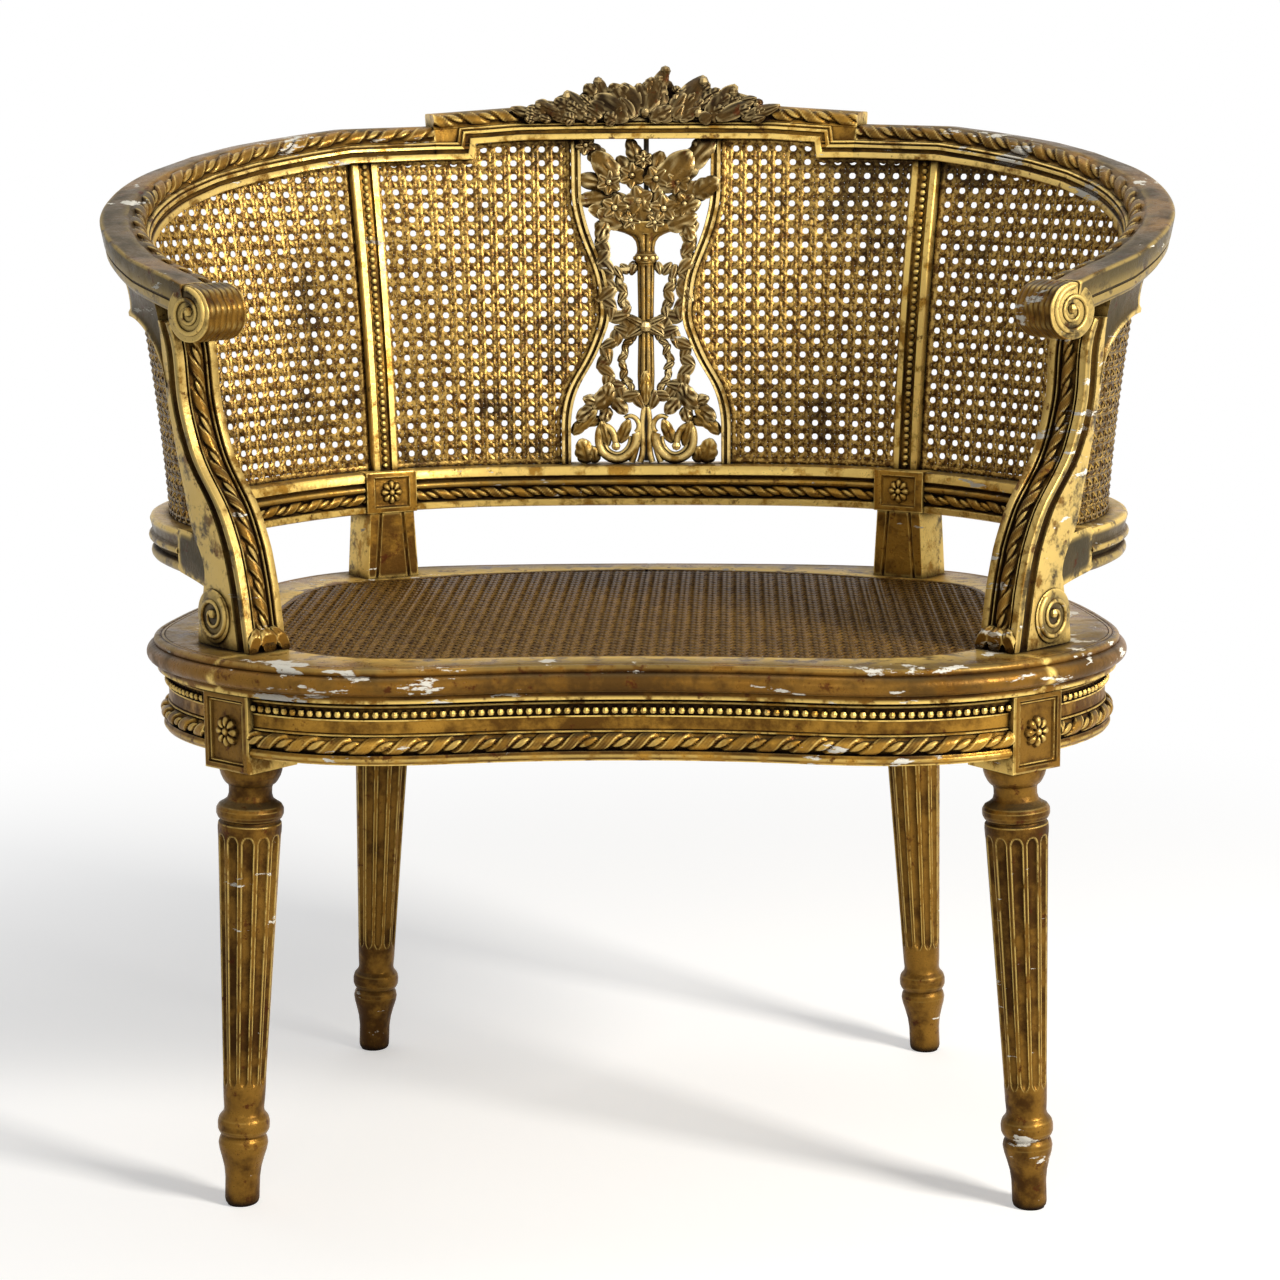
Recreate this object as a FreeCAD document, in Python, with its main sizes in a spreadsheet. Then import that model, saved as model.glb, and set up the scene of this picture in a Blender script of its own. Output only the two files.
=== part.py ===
import FreeCAD, Part
import math
import os
from FreeCAD import Placement, Rotation, Vector
import Sketcher

# Gilded armchair with a caned horseshoe back, a pierced centre splat and a caned seat.
# It stands on Z = 0, the sitter looks along -Y and +X is the right arm seen from the front.
# Lengths are millimetres. Outline places are shares of the driving sizes they follow.

doc = FreeCAD.newDocument("CanedArmchair")
sheet = doc.addObject("Spreadsheet::Sheet", "Sizes")

DRIVING = {
    # seat, rim moulding and apron
    "seat_height": 440, "seat_half_width": 371, "seat_reach": 264,
    "rim_height": 26.5, "rim_overhang": 16.5, "rim_bead": 5, "rim_fillet": 6,
    "apron_height": 48, "apron_thickness": 28, "apron_fillet": 4, "apron_fillet_height": 8,
    "ribbon_height": 12, "ribbon_relief": 2.5, "fascia_groove": 4,
    "seat_ledge": 16, "cane_thickness": 2.6, "cane_lip": 0.6, "seat_openings": 10,
    # legs
    "block_side": 50, "block_recess": 2.5, "block_border": 6, "block_below_apron": 13,
    "block_proud": 5, "rosette_radius": 11, "rosette_relief": 4,
    "shaft_top_radius": 24.6, "shaft_foot_radius": 16.2, "collar_radius": 25.4, "neck_radius": 16.5,
    "ring_radius": 20.2, "foot_radius": 13.5, "toe_radius": 11.5,
    "toe_rise": 3, "foot_rise": 22, "bulge_rise": 52, "ring_rise": 61, "ring_height": 12,
    "shaft_rise": 86, "collar_drop": 40, "collar_height": 8, "bowl_height": 13, "neck_height": 9,
    "flute_depth": 3, "flute_margin": 11, "flute_count": 12,
    "front_splay": 2.8, "rear_splay": 2.8, "rear_rake": 1.1,
    # back
    "rail_gap": 58, "low_rail_height": 35.5, "low_rail_depth": 38, "low_rail_drop": 8,
    "back_height": 408, "arm_height": 280, "back_flare": 48,
    "top_rail_height": 29, "top_rail_depth": 36, "crest_half_length": 178, "crest_shoulder": 138,
    "shoulder_slope": 4, "rail_fillet": 3,
    "panel_thickness": 2.6, "panel_openings": 5,
    "post_width": 51, "post_neck_width": 44, "post_depth": 40, "post_block_width": 49,
    "post_block_proud": 2, "stile_width": 23, "stile_depth": 20, "bead_groove": 9,
    "bead_groove_depth": 2.5,
    # arms
    "support_thickness": 36, "support_foot": 75, "support_ear": 99,
    "foot_scroll_radius": 21, "foot_scroll_relief": 2,
    "volute_radius": 22.5, "volute_width": 42, "volute_turn": 12,
    # carved splat and crest
    "splat_half_width": 75.5, "splat_stile_width": 8.5, "splat_stile_depth": 15,
    "torch_radius": 9, "scroll_thickness": 6.5, "rod_radius": 2.4, "rod_setback": 13,
    "crest_carving_height": 37, "crest_carving_half_length": 98, "crest_carving_depth": 18,
    # how closely outlines are followed, and clearances
    "station_length": 90, "station_turn": 9, "clearance": 0.3,
}
for row, (name, value) in enumerate(DRIVING.items(), start=1):
    sheet.set("A%d" % row, name.replace("_", " "))
    sheet.set("B%d" % row, str(value))
    sheet.setAlias("B%d" % row, name)
doc.recompute()


def size(name):
    """Read one driving dimension from the sheet."""
    return float(getattr(sheet, name))


UP = Vector(0, 0, 1)
CLEAR = size("clearance")
FLATNESS = CLEAR / 1e6
SEAT_TOP = size("seat_height")
RIM_BOTTOM = SEAT_TOP - size("rim_height")
APRON_BOTTOM = RIM_BOTTOM - size("apron_height")
BLOCK_BOTTOM = APRON_BOTTOM - size("block_below_apron")
LOW_RAIL_BOTTOM = SEAT_TOP + size("rail_gap")
LOW_RAIL_TOP = LOW_RAIL_BOTTOM + size("low_rail_height")
BACK_TOP = SEAT_TOP + size("back_height")
ARM_TOP = SEAT_TOP + size("arm_height")
parts = []

# Right half of each plan outline, from the middle of the front to the middle of the rear,
# as shares of the seat's half width and reach.
SEAT_OUTLINE_SHARES = [(0, -0.924), (0.27, -0.951), (0.504, -0.996), (0.674, -0.957), (0.825, -0.834),
                       (0.943, -0.644), (1.0, -0.43), (0.992, -0.189), (0.949, 0.114), (0.868, 0.417),
                       (0.755, 0.667), (0.566, 0.807), (0.296, 0.867), (0, 0.883)]
CANE_OUTLINE_SHARES = [(0, -0.826), (0.323, -0.852), (0.553, -0.848), (0.69, -0.742), (0.782, -0.53),
                       (0.811, -0.227), (0.803, 0.076), (0.784, 0.303), (0.733, 0.473), (0.647, 0.549),
                       (0.547, 0.61), (0.45, 0.674), (0.28, 0.742), (0, 0.79)]
# The horseshoe of the back in plan, from the middle of the rear to the front of the arm.
BACK_PLAN_SHARES = [(0, 0.837), (0.243, 0.826), (0.445, 0.784), (0.625, 0.678), (0.782, 0.53),
                    (0.895, 0.367), (0.965, 0.235), (1.008, 0.068), (1.019, -0.133), (0.981, -0.333),
                    (0.903, -0.511), (0.744, -0.758)]
# Top of the rail: share of the plan's half length, share of the rise from arm to crest.
SIDE_RISE_SHARES = [(0.248, 0.867), (0.352, 0.852), (0.4, 0.816), (0.476, 0.75), (0.534, 0.687),
                    (0.592, 0.594), (0.658, 0.48), (0.76, 0.289), (0.842, 0.133), (0.913, 0.047),
                    (0.94, 0.0)]
CREST_RISE_SHARES = [(0, 1.0), (0.075, 1.0), (0.151, 0.995), (0.248, 0.953)]
RAIL_END_SHARE = 0.94
POST_SHARE = 0.335
FRONT_LEG_SHARE = 0.151
REAR_LEG_SHARE = 0.382
FLARE_STRAIGHT_SHARE = 0.35


def across(share):
    return share * size("seat_half_width")


def along(share):
    return share * size("seat_reach")


def smooth_curve(points, closed=False):
    curve = Part.BSplineCurve()
    curve.interpolate(Points=points, PeriodicFlag=closed)
    return curve


def closed_outline(shares):
    """A smooth closed plan curve, anticlockwise from the middle of the front."""
    right = [Vector(across(x), along(y), 0) for x, y in shares]
    left = [Vector(-p.x, p.y, p.z) for p in right[-2:0:-1]]
    return smooth_curve(right + left, closed=True)


def turned_out(tangent):
    return Vector(tangent.y, -tangent.x, 0)


seat_curve = closed_outline(SEAT_OUTLINE_SHARES)
cane_edge = closed_outline(CANE_OUTLINE_SHARES).toShape()
back_half = [Vector(across(x), along(y), 0) for x, y in BACK_PLAN_SHARES]
back_curve = smooth_curve([Vector(-p.x, p.y, 0) for p in back_half[:0:-1]] + back_half)
SEAT_LENGTH = seat_curve.length()
HALF_LENGTH = back_curve.length() / 2


def seat_frame(share):
    """Point and outward normal at a share of the seat outline's length from the front."""
    place = seat_curve.parameterAtDistance((share % 1.0) * SEAT_LENGTH, seat_curve.FirstParameter)
    return seat_curve.value(place), turned_out(seat_curve.tangent(place)[0])


def back_frame(share):
    """Point and outward normal of the back's plan: 0 at its middle, 1 at the right arm's front."""
    place = back_curve.parameterAtDistance((1 + share) * HALF_LENGTH, back_curve.FirstParameter)
    return back_curve.value(place), turned_out(back_curve.tangent(place)[0]) * -1


def back_share(length):
    """A distance along the plan from the middle of the back, as a share of its half length."""
    return length / HALF_LENGTH


def arm_share(length):
    """A distance back from the front end of the arm's plan, as a share of its half length."""
    return 1 - length / HALF_LENGTH


def stations(frame, first, last, whole_length):
    """Shares between two places, closer together where the outline turns faster."""
    samples = 120
    reach = [0.0]
    normal = frame(first)[1]
    for i in range(1, samples + 1):
        share = first + (last - first) * i / samples
        turned = frame(share)[1]
        run = abs(last - first) * whole_length / samples
        turn = math.degrees(normal.getAngle(turned))
        reach.append(reach[-1] + run / size("station_length") + turn / size("station_turn"))
        normal = turned
    count = max(2, math.ceil(reach[-1]))
    shares = []
    index = 0
    for i in range(count + 1):
        wanted = reach[-1] * i / count
        while index < samples - 1 and reach[index + 1] < wanted:
            index += 1
        part = (wanted - reach[index]) / (reach[index + 1] - reach[index])
        shares.append(first + (last - first) * (index + min(part, 1.0)) / samples)
    return shares


def flare(level):
    """Outward lean of the back at a height: none below the middle of the lower rail."""
    start = LOW_RAIL_TOP - size("low_rail_height") / 2
    share = max(0.0, (level - start) / (BACK_TOP - start))
    return size("back_flare") * (FLARE_STRAIGHT_SHARE * share + (1 - FLARE_STRAIGHT_SHARE) * share ** 2)


def back_point(share, level, outward=0.0):
    point, normal = back_frame(share)
    return point + normal * (flare(level) + outward) + UP * level


def blended(shares, share):
    """Read a table of share pairs, straight between its rows."""
    share = min(max(share, shares[0][0]), shares[-1][0])
    for (low, first), (high, last) in zip(shares, shares[1:]):
        if share <= high:
            return first + (last - first) * (share - low) / (high - low)
    return shares[-1][1]


def side_top(share):
    return ARM_TOP + blended(SIDE_RISE_SHARES, abs(share)) * (BACK_TOP - ARM_TOP)


def crest_top(share):
    return ARM_TOP + blended(CREST_RISE_SHARES, abs(share)) * (BACK_TOP - ARM_TOP)


def rail_bottom(share):
    """Underside of the top rail: the crest's underside steps down inside its shoulders."""
    step = (abs(share) * HALF_LENGTH - size("crest_shoulder")) / size("shoulder_slope") + 1 / 2
    step = min(max(step, 0.0), 1.0)
    top = crest_top(share) * (1 - step) + side_top(share) * step
    return top - size("top_rail_height")


def low_rail_base(share):
    """Underside of the lower rail, which drops a little from the posts to the arms."""
    ear = arm_share(size("support_ear"))
    run = (abs(share) - POST_SHARE) / (ear - POST_SHARE)
    return LOW_RAIL_BOTTOM - size("low_rail_drop") * min(max(run, 0.0), 1.0)


def low_rail_top(share):
    return low_rail_base(share) + size("low_rail_height")


def ruled(sections):
    """A solid with straight rules between closed sections of as many corners each."""
    quads = []
    count = len(sections[0])
    for first, second in zip(sections, sections[1:]):
        for i in range(count):
            after = (i + 1) % count
            quads.append([first[i], first[after], second[after], second[i]])
    return faced_solid(quads, [sections[0], sections[-1]])


def faced_solid(quads, ends=()):
    """A closed solid of flat faces: a quad that isn't flat is folded along its diagonal."""
    faces = [Part.Face(Part.makePolygon(points + [points[0]])) for points in ends]
    for a, b, c, d in quads:
        normal = (b - a).cross(d - a)
        rise = abs((c - a).dot(normal)) / normal.Length if normal.Length else 1.0
        for corners in ([a, b, c, d],) if rise < FLATNESS else ([a, b, c], [a, c, d]):
            faces.append(Part.Face(Part.makePolygon(corners + [corners[0]])))
    shell = Part.makeShell(faces)
    shell.sewShape()
    solid = Part.makeSolid(Part.Shell(shell.Faces))
    return solid if solid.Volume > 0 else solid.reversed()


def add_part(name, shape):
    """Keep a finished shape as a sub-part of its own."""
    obj = doc.addObject("Part::Feature", name)
    obj.Label = name
    obj.Shape = shape
    parts.append(obj)
    return obj


def add_pair(name, shape):
    """Keep a right-hand piece and its mirror image on the left."""
    add_part("right_" + name, shape)
    add_part("left_" + name, shape.mirror(Vector(), Vector(1, 0, 0)))


def rim_profile():
    """Rim moulding outward from the fascia's face: fillet, torus, groove and bead."""
    overhang, height = size("rim_overhang"), size("rim_height")
    bead, fillet = size("rim_bead"), size("rim_fillet")
    torus = (height - bead - fillet) / 2
    nose = overhang - torus
    return [(nose, -height), (nose, fillet - height), (overhang - torus / 4, fillet + torus / 2 - height),
            (overhang, fillet + torus - height), (overhang - torus / 4, -bead - torus / 2),
            (nose, -bead), (nose + bead / 2, -bead / 2), (nose, 0)]


def cane_place(point):
    """Nearest place on the cane's edge to a point of the rim, and the way out to that point."""
    edge = Part.Vertex(point).distToShape(cane_edge)[1][0][1]
    return edge, (point - edge).normalize()


def rim_section(share):
    """The rim's whole section: moulding, border, cane's rabbet and the ledge below it."""
    point, normal = seat_frame(share)
    edge, outward = cane_place(point)
    mitre = outward.dot(normal)
    deep = size("cane_lip") + size("cane_thickness") + CLEAR
    moulding = [point + outward * (out / mitre) + UP * (SEAT_TOP + rise) for out, rise in rim_profile()]
    rabbet = [(0, 0), (0, -deep), (-size("seat_ledge"), -deep), (-size("seat_ledge"), -size("rim_height"))]
    return moulding + [edge + outward * out + UP * (SEAT_TOP + rise) for out, rise in rabbet]


QUARTERS = {"front": (-FRONT_LEG_SHARE, FRONT_LEG_SHARE), "right": (FRONT_LEG_SHARE, REAR_LEG_SHARE),
            "rear": (REAR_LEG_SHARE, 1 - REAR_LEG_SHARE), "left": (1 - REAR_LEG_SHARE, 1 - FRONT_LEG_SHARE)}


# Width of the cane's bars between two openings, as a share of their pitch.
BAR_SHARE = 0.4


def windows(count):
    """Start and end of each opening in a row, as shares of its length, with bars round them."""
    pitch = 1 / (count + BAR_SHARE)
    return [((i + BAR_SHARE) * pitch, (i + 1) * pitch) for i in range(count)]


def seat_net(border, inset):
    """The seat's cane as one face with a plain grid of openings inside its solid edge."""
    outline = Part.Face(Part.makePolygon(border + [border[0]]))
    inner = Part.Face(Part.makePolygon(inset + [inset[0]]))
    box = outline.BoundBox
    columns = round(size("seat_openings"))
    rows = round(columns * box.YLength / box.XLength)
    holes = []
    for left, right in windows(columns):
        for front, rear in windows(rows):
            corner = Vector(box.XMin + left * box.XLength, box.YMin + front * box.YLength, 0)
            plane = Part.makePlane((right - left) * box.XLength, (rear - front) * box.YLength, corner)
            hole = plane.common(inner)
            if hole.Area > plane.Area / 4:
                holes.append(hole)
    return outline.cut(holes).Faces[0]


def build_seat():
    border, inset = [], []
    bar = BAR_SHARE * 2 * size("seat_half_width") / size("seat_openings") / 2
    for name, (first, last) in QUARTERS.items():
        shares = stations(seat_frame, first, last, SEAT_LENGTH)
        add_part(name + "_seat_rim", ruled([rim_section(share) for share in shares]))
        for share in shares[:-1]:
            edge, outward = cane_place(seat_frame(share)[0])
            border.append(edge - outward * CLEAR)
            inset.append(edge - outward * (CLEAR + bar))
    sheet_solid = seat_net(border, inset).extrude(UP * size("cane_thickness"))
    sheet_solid.translate(UP * (SEAT_TOP - size("cane_lip") - size("cane_thickness")))
    add_part("seat_cane", sheet_solid)


def apron_profile():
    """Apron outward from the fascia's face: cyma fillet, ribbon band, groove and fascia."""
    height, depth = size("apron_height"), size("apron_thickness")
    fillet, lip = size("apron_fillet"), size("apron_fillet_height")
    band, relief, groove = size("ribbon_height"), size("ribbon_relief"), size("fascia_groove")
    return [(-depth, -height), (fillet, -height), (fillet, lip - height),
            (fillet + relief, lip + band / 3 - height), (fillet + relief, lip + 2 * band / 3 - height),
            (fillet / 2, lip + band - height), (0, lip + band + groove - height), (0, 0), (-depth, 0)]


def leg_stand(share):
    """Centre of a leg block in plan, and the way its carved face looks."""
    point, normal = seat_frame(share)
    return point - normal * (size("block_side") / 2 - size("block_proud")), normal


def meet_share(share, out, centre, sideways, reach):
    """Share at which the line offset from the outline meets a leg block's side."""
    low, high = share - 2 * reach / SEAT_LENGTH, share + 2 * reach / SEAT_LENGTH
    face = seat_frame(share)[1]
    aside = Vector(-face.y, face.x, 0) * sideways
    for _ in range(30):
        middle = (low + high) / 2
        point, normal = seat_frame(middle)
        beyond = (point + normal * out - centre).dot(aside) > reach
        if beyond == (sideways > 0):
            high = middle
        else:
            low = middle
    return (low + high) / 2


def build_aprons():
    profile = apron_profile()
    reach = size("block_side") / 2
    for name, (first, last) in QUARTERS.items():
        setback = reach / SEAT_LENGTH
        shares = stations(seat_frame, first + setback, last - setback, SEAT_LENGTH)
        sections = []
        for share in shares:
            point, normal = seat_frame(share)
            sections.append([point + normal * out + UP * (RIM_BOTTOM + rise) for out, rise in profile])
        for end, side, slot in ((first, 1, 0), (last, -1, -1)):
            centre = leg_stand(end)[0]
            corners = []
            for out, rise in profile:
                point, normal = seat_frame(meet_share(end, out, centre, side, reach))
                corners.append(point + normal * out + UP * (RIM_BOTTOM + rise))
            sections[slot] = corners
        add_part(name + "_apron", ruled(sections))


# Legs: one turned and fluted pattern under one square block, stood four times.
LEG_TOP = "(Sizes.seat_height - Sizes.rim_height)"
BLOCK_FOOT = "(%s - Sizes.apron_height - Sizes.block_below_apron)" % LEG_TOP
probe = doc.addObject("Part::Box", "Probe")


def worked_out(expression):
    """Value of an expression in the sheet's words, for a sketch's first drawing."""
    probe.setExpression("Placement.Base.x", expression)
    probe.recompute()
    return float(probe.Placement.Base.x)


def foot_profile():
    """Outline of the foot and its ring from below the toe to the fluted shaft."""
    toe, ring, rise = size("toe_rise"), size("ring_radius"), size("ring_rise")
    bulge = size("bulge_rise")
    return [(size("toe_radius"), -toe), (size("toe_radius"), 0), (size("foot_radius"), toe),
            (size("foot_radius"), size("foot_rise")), (ring - toe / 4, bulge),
            (ring - toe, (bulge + rise) / 2), (ring, rise), (ring, rise + size("ring_height") / 2),
            (size("shaft_foot_radius"), rise + size("ring_height")),
            (size("shaft_foot_radius"), size("shaft_rise") + size("flute_margin"))]


def head_profile():
    """Outline of the collar, neck and bowl from the fluted shaft up into the block."""
    toe, collar = size("toe_rise"), size("collar_radius")
    start = BLOCK_BOTTOM - size("collar_drop")
    neck = BLOCK_BOTTOM - size("bowl_height")
    return [(size("shaft_top_radius"), start - size("flute_margin")), (size("shaft_top_radius"), start - toe),
            (size("shaft_top_radius") - size("block_recess"), start),
            (collar, start + size("collar_height") / 4), (collar, start + size("collar_height")),
            (size("neck_radius"), neck - size("neck_height")), (size("neck_radius"), neck),
            (collar, BLOCK_BOTTOM - toe), (collar - toe / 2, BLOCK_BOTTOM + toe)]


def base_plane(body, role):
    return next(item for item in body.Origin.OriginFeatures if item.Role == role)


def bound_outline(body, name, role, pairs, offset="0"):
    """A closed sketch of straight lines whose every corner is bound to expressions."""
    sketch = body.newObject("Sketcher::SketchObject", name)
    sketch.AttachmentSupport = [(base_plane(body, role), "")]
    sketch.MapMode = "FlatFace"
    sketch.setExpression("AttachmentOffset.Base.z", offset)
    points = [Vector(worked_out(a), worked_out(b), 0) for a, b in pairs]
    count = len(points)
    for i in range(count):
        sketch.addGeometry(Part.LineSegment(points[i], points[(i + 1) % count]), False)
    for i in range(count):
        sketch.addConstraint(Sketcher.Constraint("Coincident", i, 2, (i + 1) % count, 1))
    for i, pair in enumerate(pairs):
        for kind, expression, place in zip(("DistanceX", "DistanceY"), pair, points[i]):
            held = sketch.addConstraint(Sketcher.Constraint(kind, -1, 1, i, 1, place))
            sketch.setExpression("Constraints[%d]" % held, expression)
    return sketch


def turned_ring(radius, level):
    """A turned section, followed with two flats for each flute of the shaft."""
    sides = 2 * round(size("flute_count"))
    angles = [2 * math.pi * k / sides for k in range(sides)]
    return [Vector(math.cos(a) * radius, math.sin(a) * radius, level) for a in angles]


# One flute: share of its pitch, share of its depth.
FLUTE_SHARES = [(0.0, 0.0), (0.22, 0.0), (0.42, 1.0), (0.8, 1.0)]


def fluted_ring(radius, level):
    """Section of the shaft: hollow flutes between flat arrises."""
    count = round(size("flute_count"))
    deep = size("flute_depth") * radius / size("shaft_top_radius")
    points = []
    for i in range(count):
        for pitch, hollow in FLUTE_SHARES:
            angle = 2 * math.pi * (i + pitch) / count
            reach = radius - deep * hollow
            points.append(Vector(math.cos(angle) * reach, math.sin(angle) * reach, level))
    return points


def turned_leg():
    """The fluted turning, upright on its own axis and a little long at toe and head."""
    foot, head = foot_profile(), head_profile()
    shaft = ruled([fluted_ring(*foot[-1]), fluted_ring(*head[0])])
    ends = [ruled([turned_ring(radius, level) for radius, level in outline]) for outline in (foot, head)]
    return shaft.fuse(ends)


def leg_block():
    """The square block, upright, with a sunk panel in the face that looks along -Y."""
    body = doc.addObject("PartDesign::Body", "LegBlock")
    half = "(Sizes.block_side / 2)"
    block = body.newObject("PartDesign::Pad", "Block")
    block.Profile = bound_outline(body, "BlockOutline", "XY_Plane",
                                  [("-" + half, "-" + half), (half, "-" + half), (half, half),
                                   ("-" + half, half)], BLOCK_FOOT)
    block.setExpression("Length", "Sizes.apron_height + Sizes.block_below_apron")
    doc.recompute()
    inner = "(%s - Sizes.block_border)" % half
    base, top = "(%s + Sizes.block_border)" % BLOCK_FOOT, "(%s - Sizes.block_border)" % LEG_TOP
    panel = body.newObject("PartDesign::Pocket", "Panel")
    panel.Profile = bound_outline(body, "PanelOutline", "XZ_Plane",
                                  [("-" + inner, base), (inner, base), (inner, top), ("-" + inner, top)],
                                  half)
    panel.setExpression("Length", "Sizes.block_recess")
    body.Tip = panel
    doc.recompute()
    if body.Shape.Volume > block.Shape.Volume - size("block_recess"):
        panel.Reversed = True
        doc.recompute()
    return body.Shape


# Rosette: depth of the notches between petals, and its relief by share of its radius.
NOTCH_SHARE = 0.72
ROSETTE_SHARES = [(1.0, 0.0), (0.86, 0.6), (0.34, 0.45), (0.3, 1.0)]
POST_ROSETTE_SHARE = 0.9


def rosette(radius, relief):
    """A six-petalled flower that looks along local -Y, round a raised boss."""
    petals = 6
    outline = []
    for i in range(2 * petals):
        reach = radius if i % 2 == 0 else radius * NOTCH_SHARE
        angle = math.pi * i / petals
        outline.append((math.cos(angle) * reach, math.sin(angle) * reach))
    return ruled([[Vector(x * wide, -relief * rise, z * wide) for x, z in outline]
                  for wide, rise in ROSETTE_SHARES])


def build_legs():
    turning, block = turned_leg(), leg_block()
    flower = rosette(size("rosette_radius"), size("rosette_relief"))
    face = size("block_recess") - size("block_side") / 2
    flower.translate(Vector(0, face, (BLOCK_BOTTOM + RIM_BOTTOM) / 2))
    block = block.fuse(flower)
    wide = 2 * size("seat_reach")
    slab = Part.makeBox(2 * wide, 2 * wide, RIM_BOTTOM, Vector(-wide, -wide, 0))
    hinge = UP * BLOCK_BOTTOM
    for name, share, splay, rake in (("front_leg", FRONT_LEG_SHARE, size("front_splay"), 0),
                                     ("rear_leg", REAR_LEG_SHARE, size("rear_splay"), size("rear_rake"))):
        centre, normal = leg_stand(share)
        turn = Rotation(UP, math.degrees(math.atan2(normal.y, normal.x)) + 90)
        lean = Rotation(Vector(0, 1, 0), -splay).multiply(Rotation(Vector(1, 0, 0), rake))
        square = block.copy()
        square.Placement = Placement(centre, turn)
        leg = turning.copy()
        leg.Placement = Placement(centre + hinge, lean.multiply(turn)).multiply(
            Placement(-hinge, Rotation()))
        add_pair(name, square.fuse(leg.common(slab)))


def rail_section(share, base, top, pairs):
    """A rail's section: (outward, share of height) pairs between two heights."""
    return [back_point(share, base + (top - base) * rise, out) for out, rise in pairs]


# Rail profiles from the inner lower edge: outward share of the depth, share of a fillet
# added to it, share of the height. The top rail has a fascia, groove, ribbon torus and outer
# band; the lower rail has a fillet, ribbon band, bead, top and outer cyma.
TOP_RAIL_SHARES = [(-0.44, 0, 0), (-0.44, 0, 0.42), (-0.44, 1, 0.47), (-0.44, 1, 0.57), (-0.44, 0.5, 0.72),
                   (-0.44, 1, 0.93), (-0.44, 3, 1.0), (0.56, -2, 1.0), (0.56, 0, 0.86), (0.56, 0, 0.2),
                   (0.56, -1, 0.1), (0.56, -1, 0)]
LOW_RAIL_SHARES = [(-0.5, 0, 0), (-0.5, 0, 0.2), (-0.5, 1, 0.27), (-0.5, 0.5, 0.45), (-0.5, 1, 0.6),
                   (-0.5, 0, 0.68), (-0.5, 0, 0.82), (-0.5, 2, 1.0), (0.5, -2, 1.0), (0.5, 0, 0.8),
                   (0.5, 0, 0.62), (0.5, -2, 0.4), (0.5, -1, 0.12), (0.5, -2, 0)]


def rail_profile(shares, depth):
    return [(depth * out + size("rail_fillet") * lip, rise) for out, lip, rise in shares]


def drum(centre, axis, radius, width):
    """A drum of flats round a level axis."""
    ahead = UP.cross(axis)
    flats = 20
    ends = []
    for side in (-1, 1):
        middle = centre + axis * (side * width / 2)
        angles = [2 * math.pi * k / flats for k in range(flats)]
        ends.append([middle + (ahead * math.cos(a) + UP * math.sin(a)) * radius for a in angles])
    return ruled(ends)


def scroll(share, level):
    """The rolled end of an arm: a drum across the rail, turned a little to the front."""
    point, normal = back_frame(share)
    axis = Rotation(UP, -size("volute_turn")).multVec(normal)
    centre = point + normal * flare(level) + UP * level
    return drum(centre, axis, size("volute_radius"), size("volute_width"))


def build_top_rails():
    profile = rail_profile(TOP_RAIL_SHARES, size("top_rail_depth"))
    end = back_share(size("crest_half_length"))
    low = back_share(size("crest_shoulder") - size("shoulder_slope") / 2)
    high = back_share(size("crest_shoulder") + size("shoulder_slope") / 2)
    half = stations(back_frame, 0, low, HALF_LENGTH) + stations(back_frame, high, end, HALF_LENGTH)
    shares = [-share for share in half[:0:-1]] + half
    add_part("crest_rail", ruled([rail_section(share, rail_bottom(share), crest_top(share), profile)
                                  for share in shares]))
    shares = stations(back_frame, end, RAIL_END_SHARE, HALF_LENGTH)
    arm = ruled([rail_section(share, rail_bottom(share), side_top(share), profile) for share in shares])
    level = side_top(RAIL_END_SHARE) - size("volute_radius")
    add_pair("arm_rail", arm.fuse(scroll(RAIL_END_SHARE, level)))


def low_rail(shares):
    profile = rail_profile(LOW_RAIL_SHARES, size("low_rail_depth"))
    return ruled([rail_section(share, low_rail_base(share), low_rail_top(share), profile)
                  for share in shares])


def build_low_rails():
    post = back_share(size("post_block_width") / 2)
    half = stations(back_frame, 0, POST_SHARE - post, HALF_LENGTH)
    add_part("centre_low_rail", low_rail([-share for share in half[:0:-1]] + half))
    ear = arm_share(size("support_ear"))
    add_pair("side_low_rail", low_rail(stations(back_frame, POST_SHARE + post, ear, HALF_LENGTH)))


def post_section(level, width, inner, outer):
    """Level section of the post: its four corners, on the curve of the back."""
    half = back_share(width / 2)
    return [back_point(POST_SHARE - half, level, inner), back_point(POST_SHARE + half, level, inner),
            back_point(POST_SHARE + half, level, outer), back_point(POST_SHARE - half, level, outer)]


def stile_section(level):
    """Level section of the stile, with the sunk channel for its string of beads."""
    half, groove = size("stile_width") / 2, size("bead_groove") / 2
    inner, deep = -size("stile_depth") / 2, size("bead_groove_depth")
    outline = [(-half, inner), (-groove, inner), (-groove, inner + deep), (groove, inner + deep),
               (groove, inner), (half, inner), (half, -inner), (-half, -inner)]
    return [back_point(POST_SHARE + back_share(run), level, out) for run, out in outline]


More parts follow.
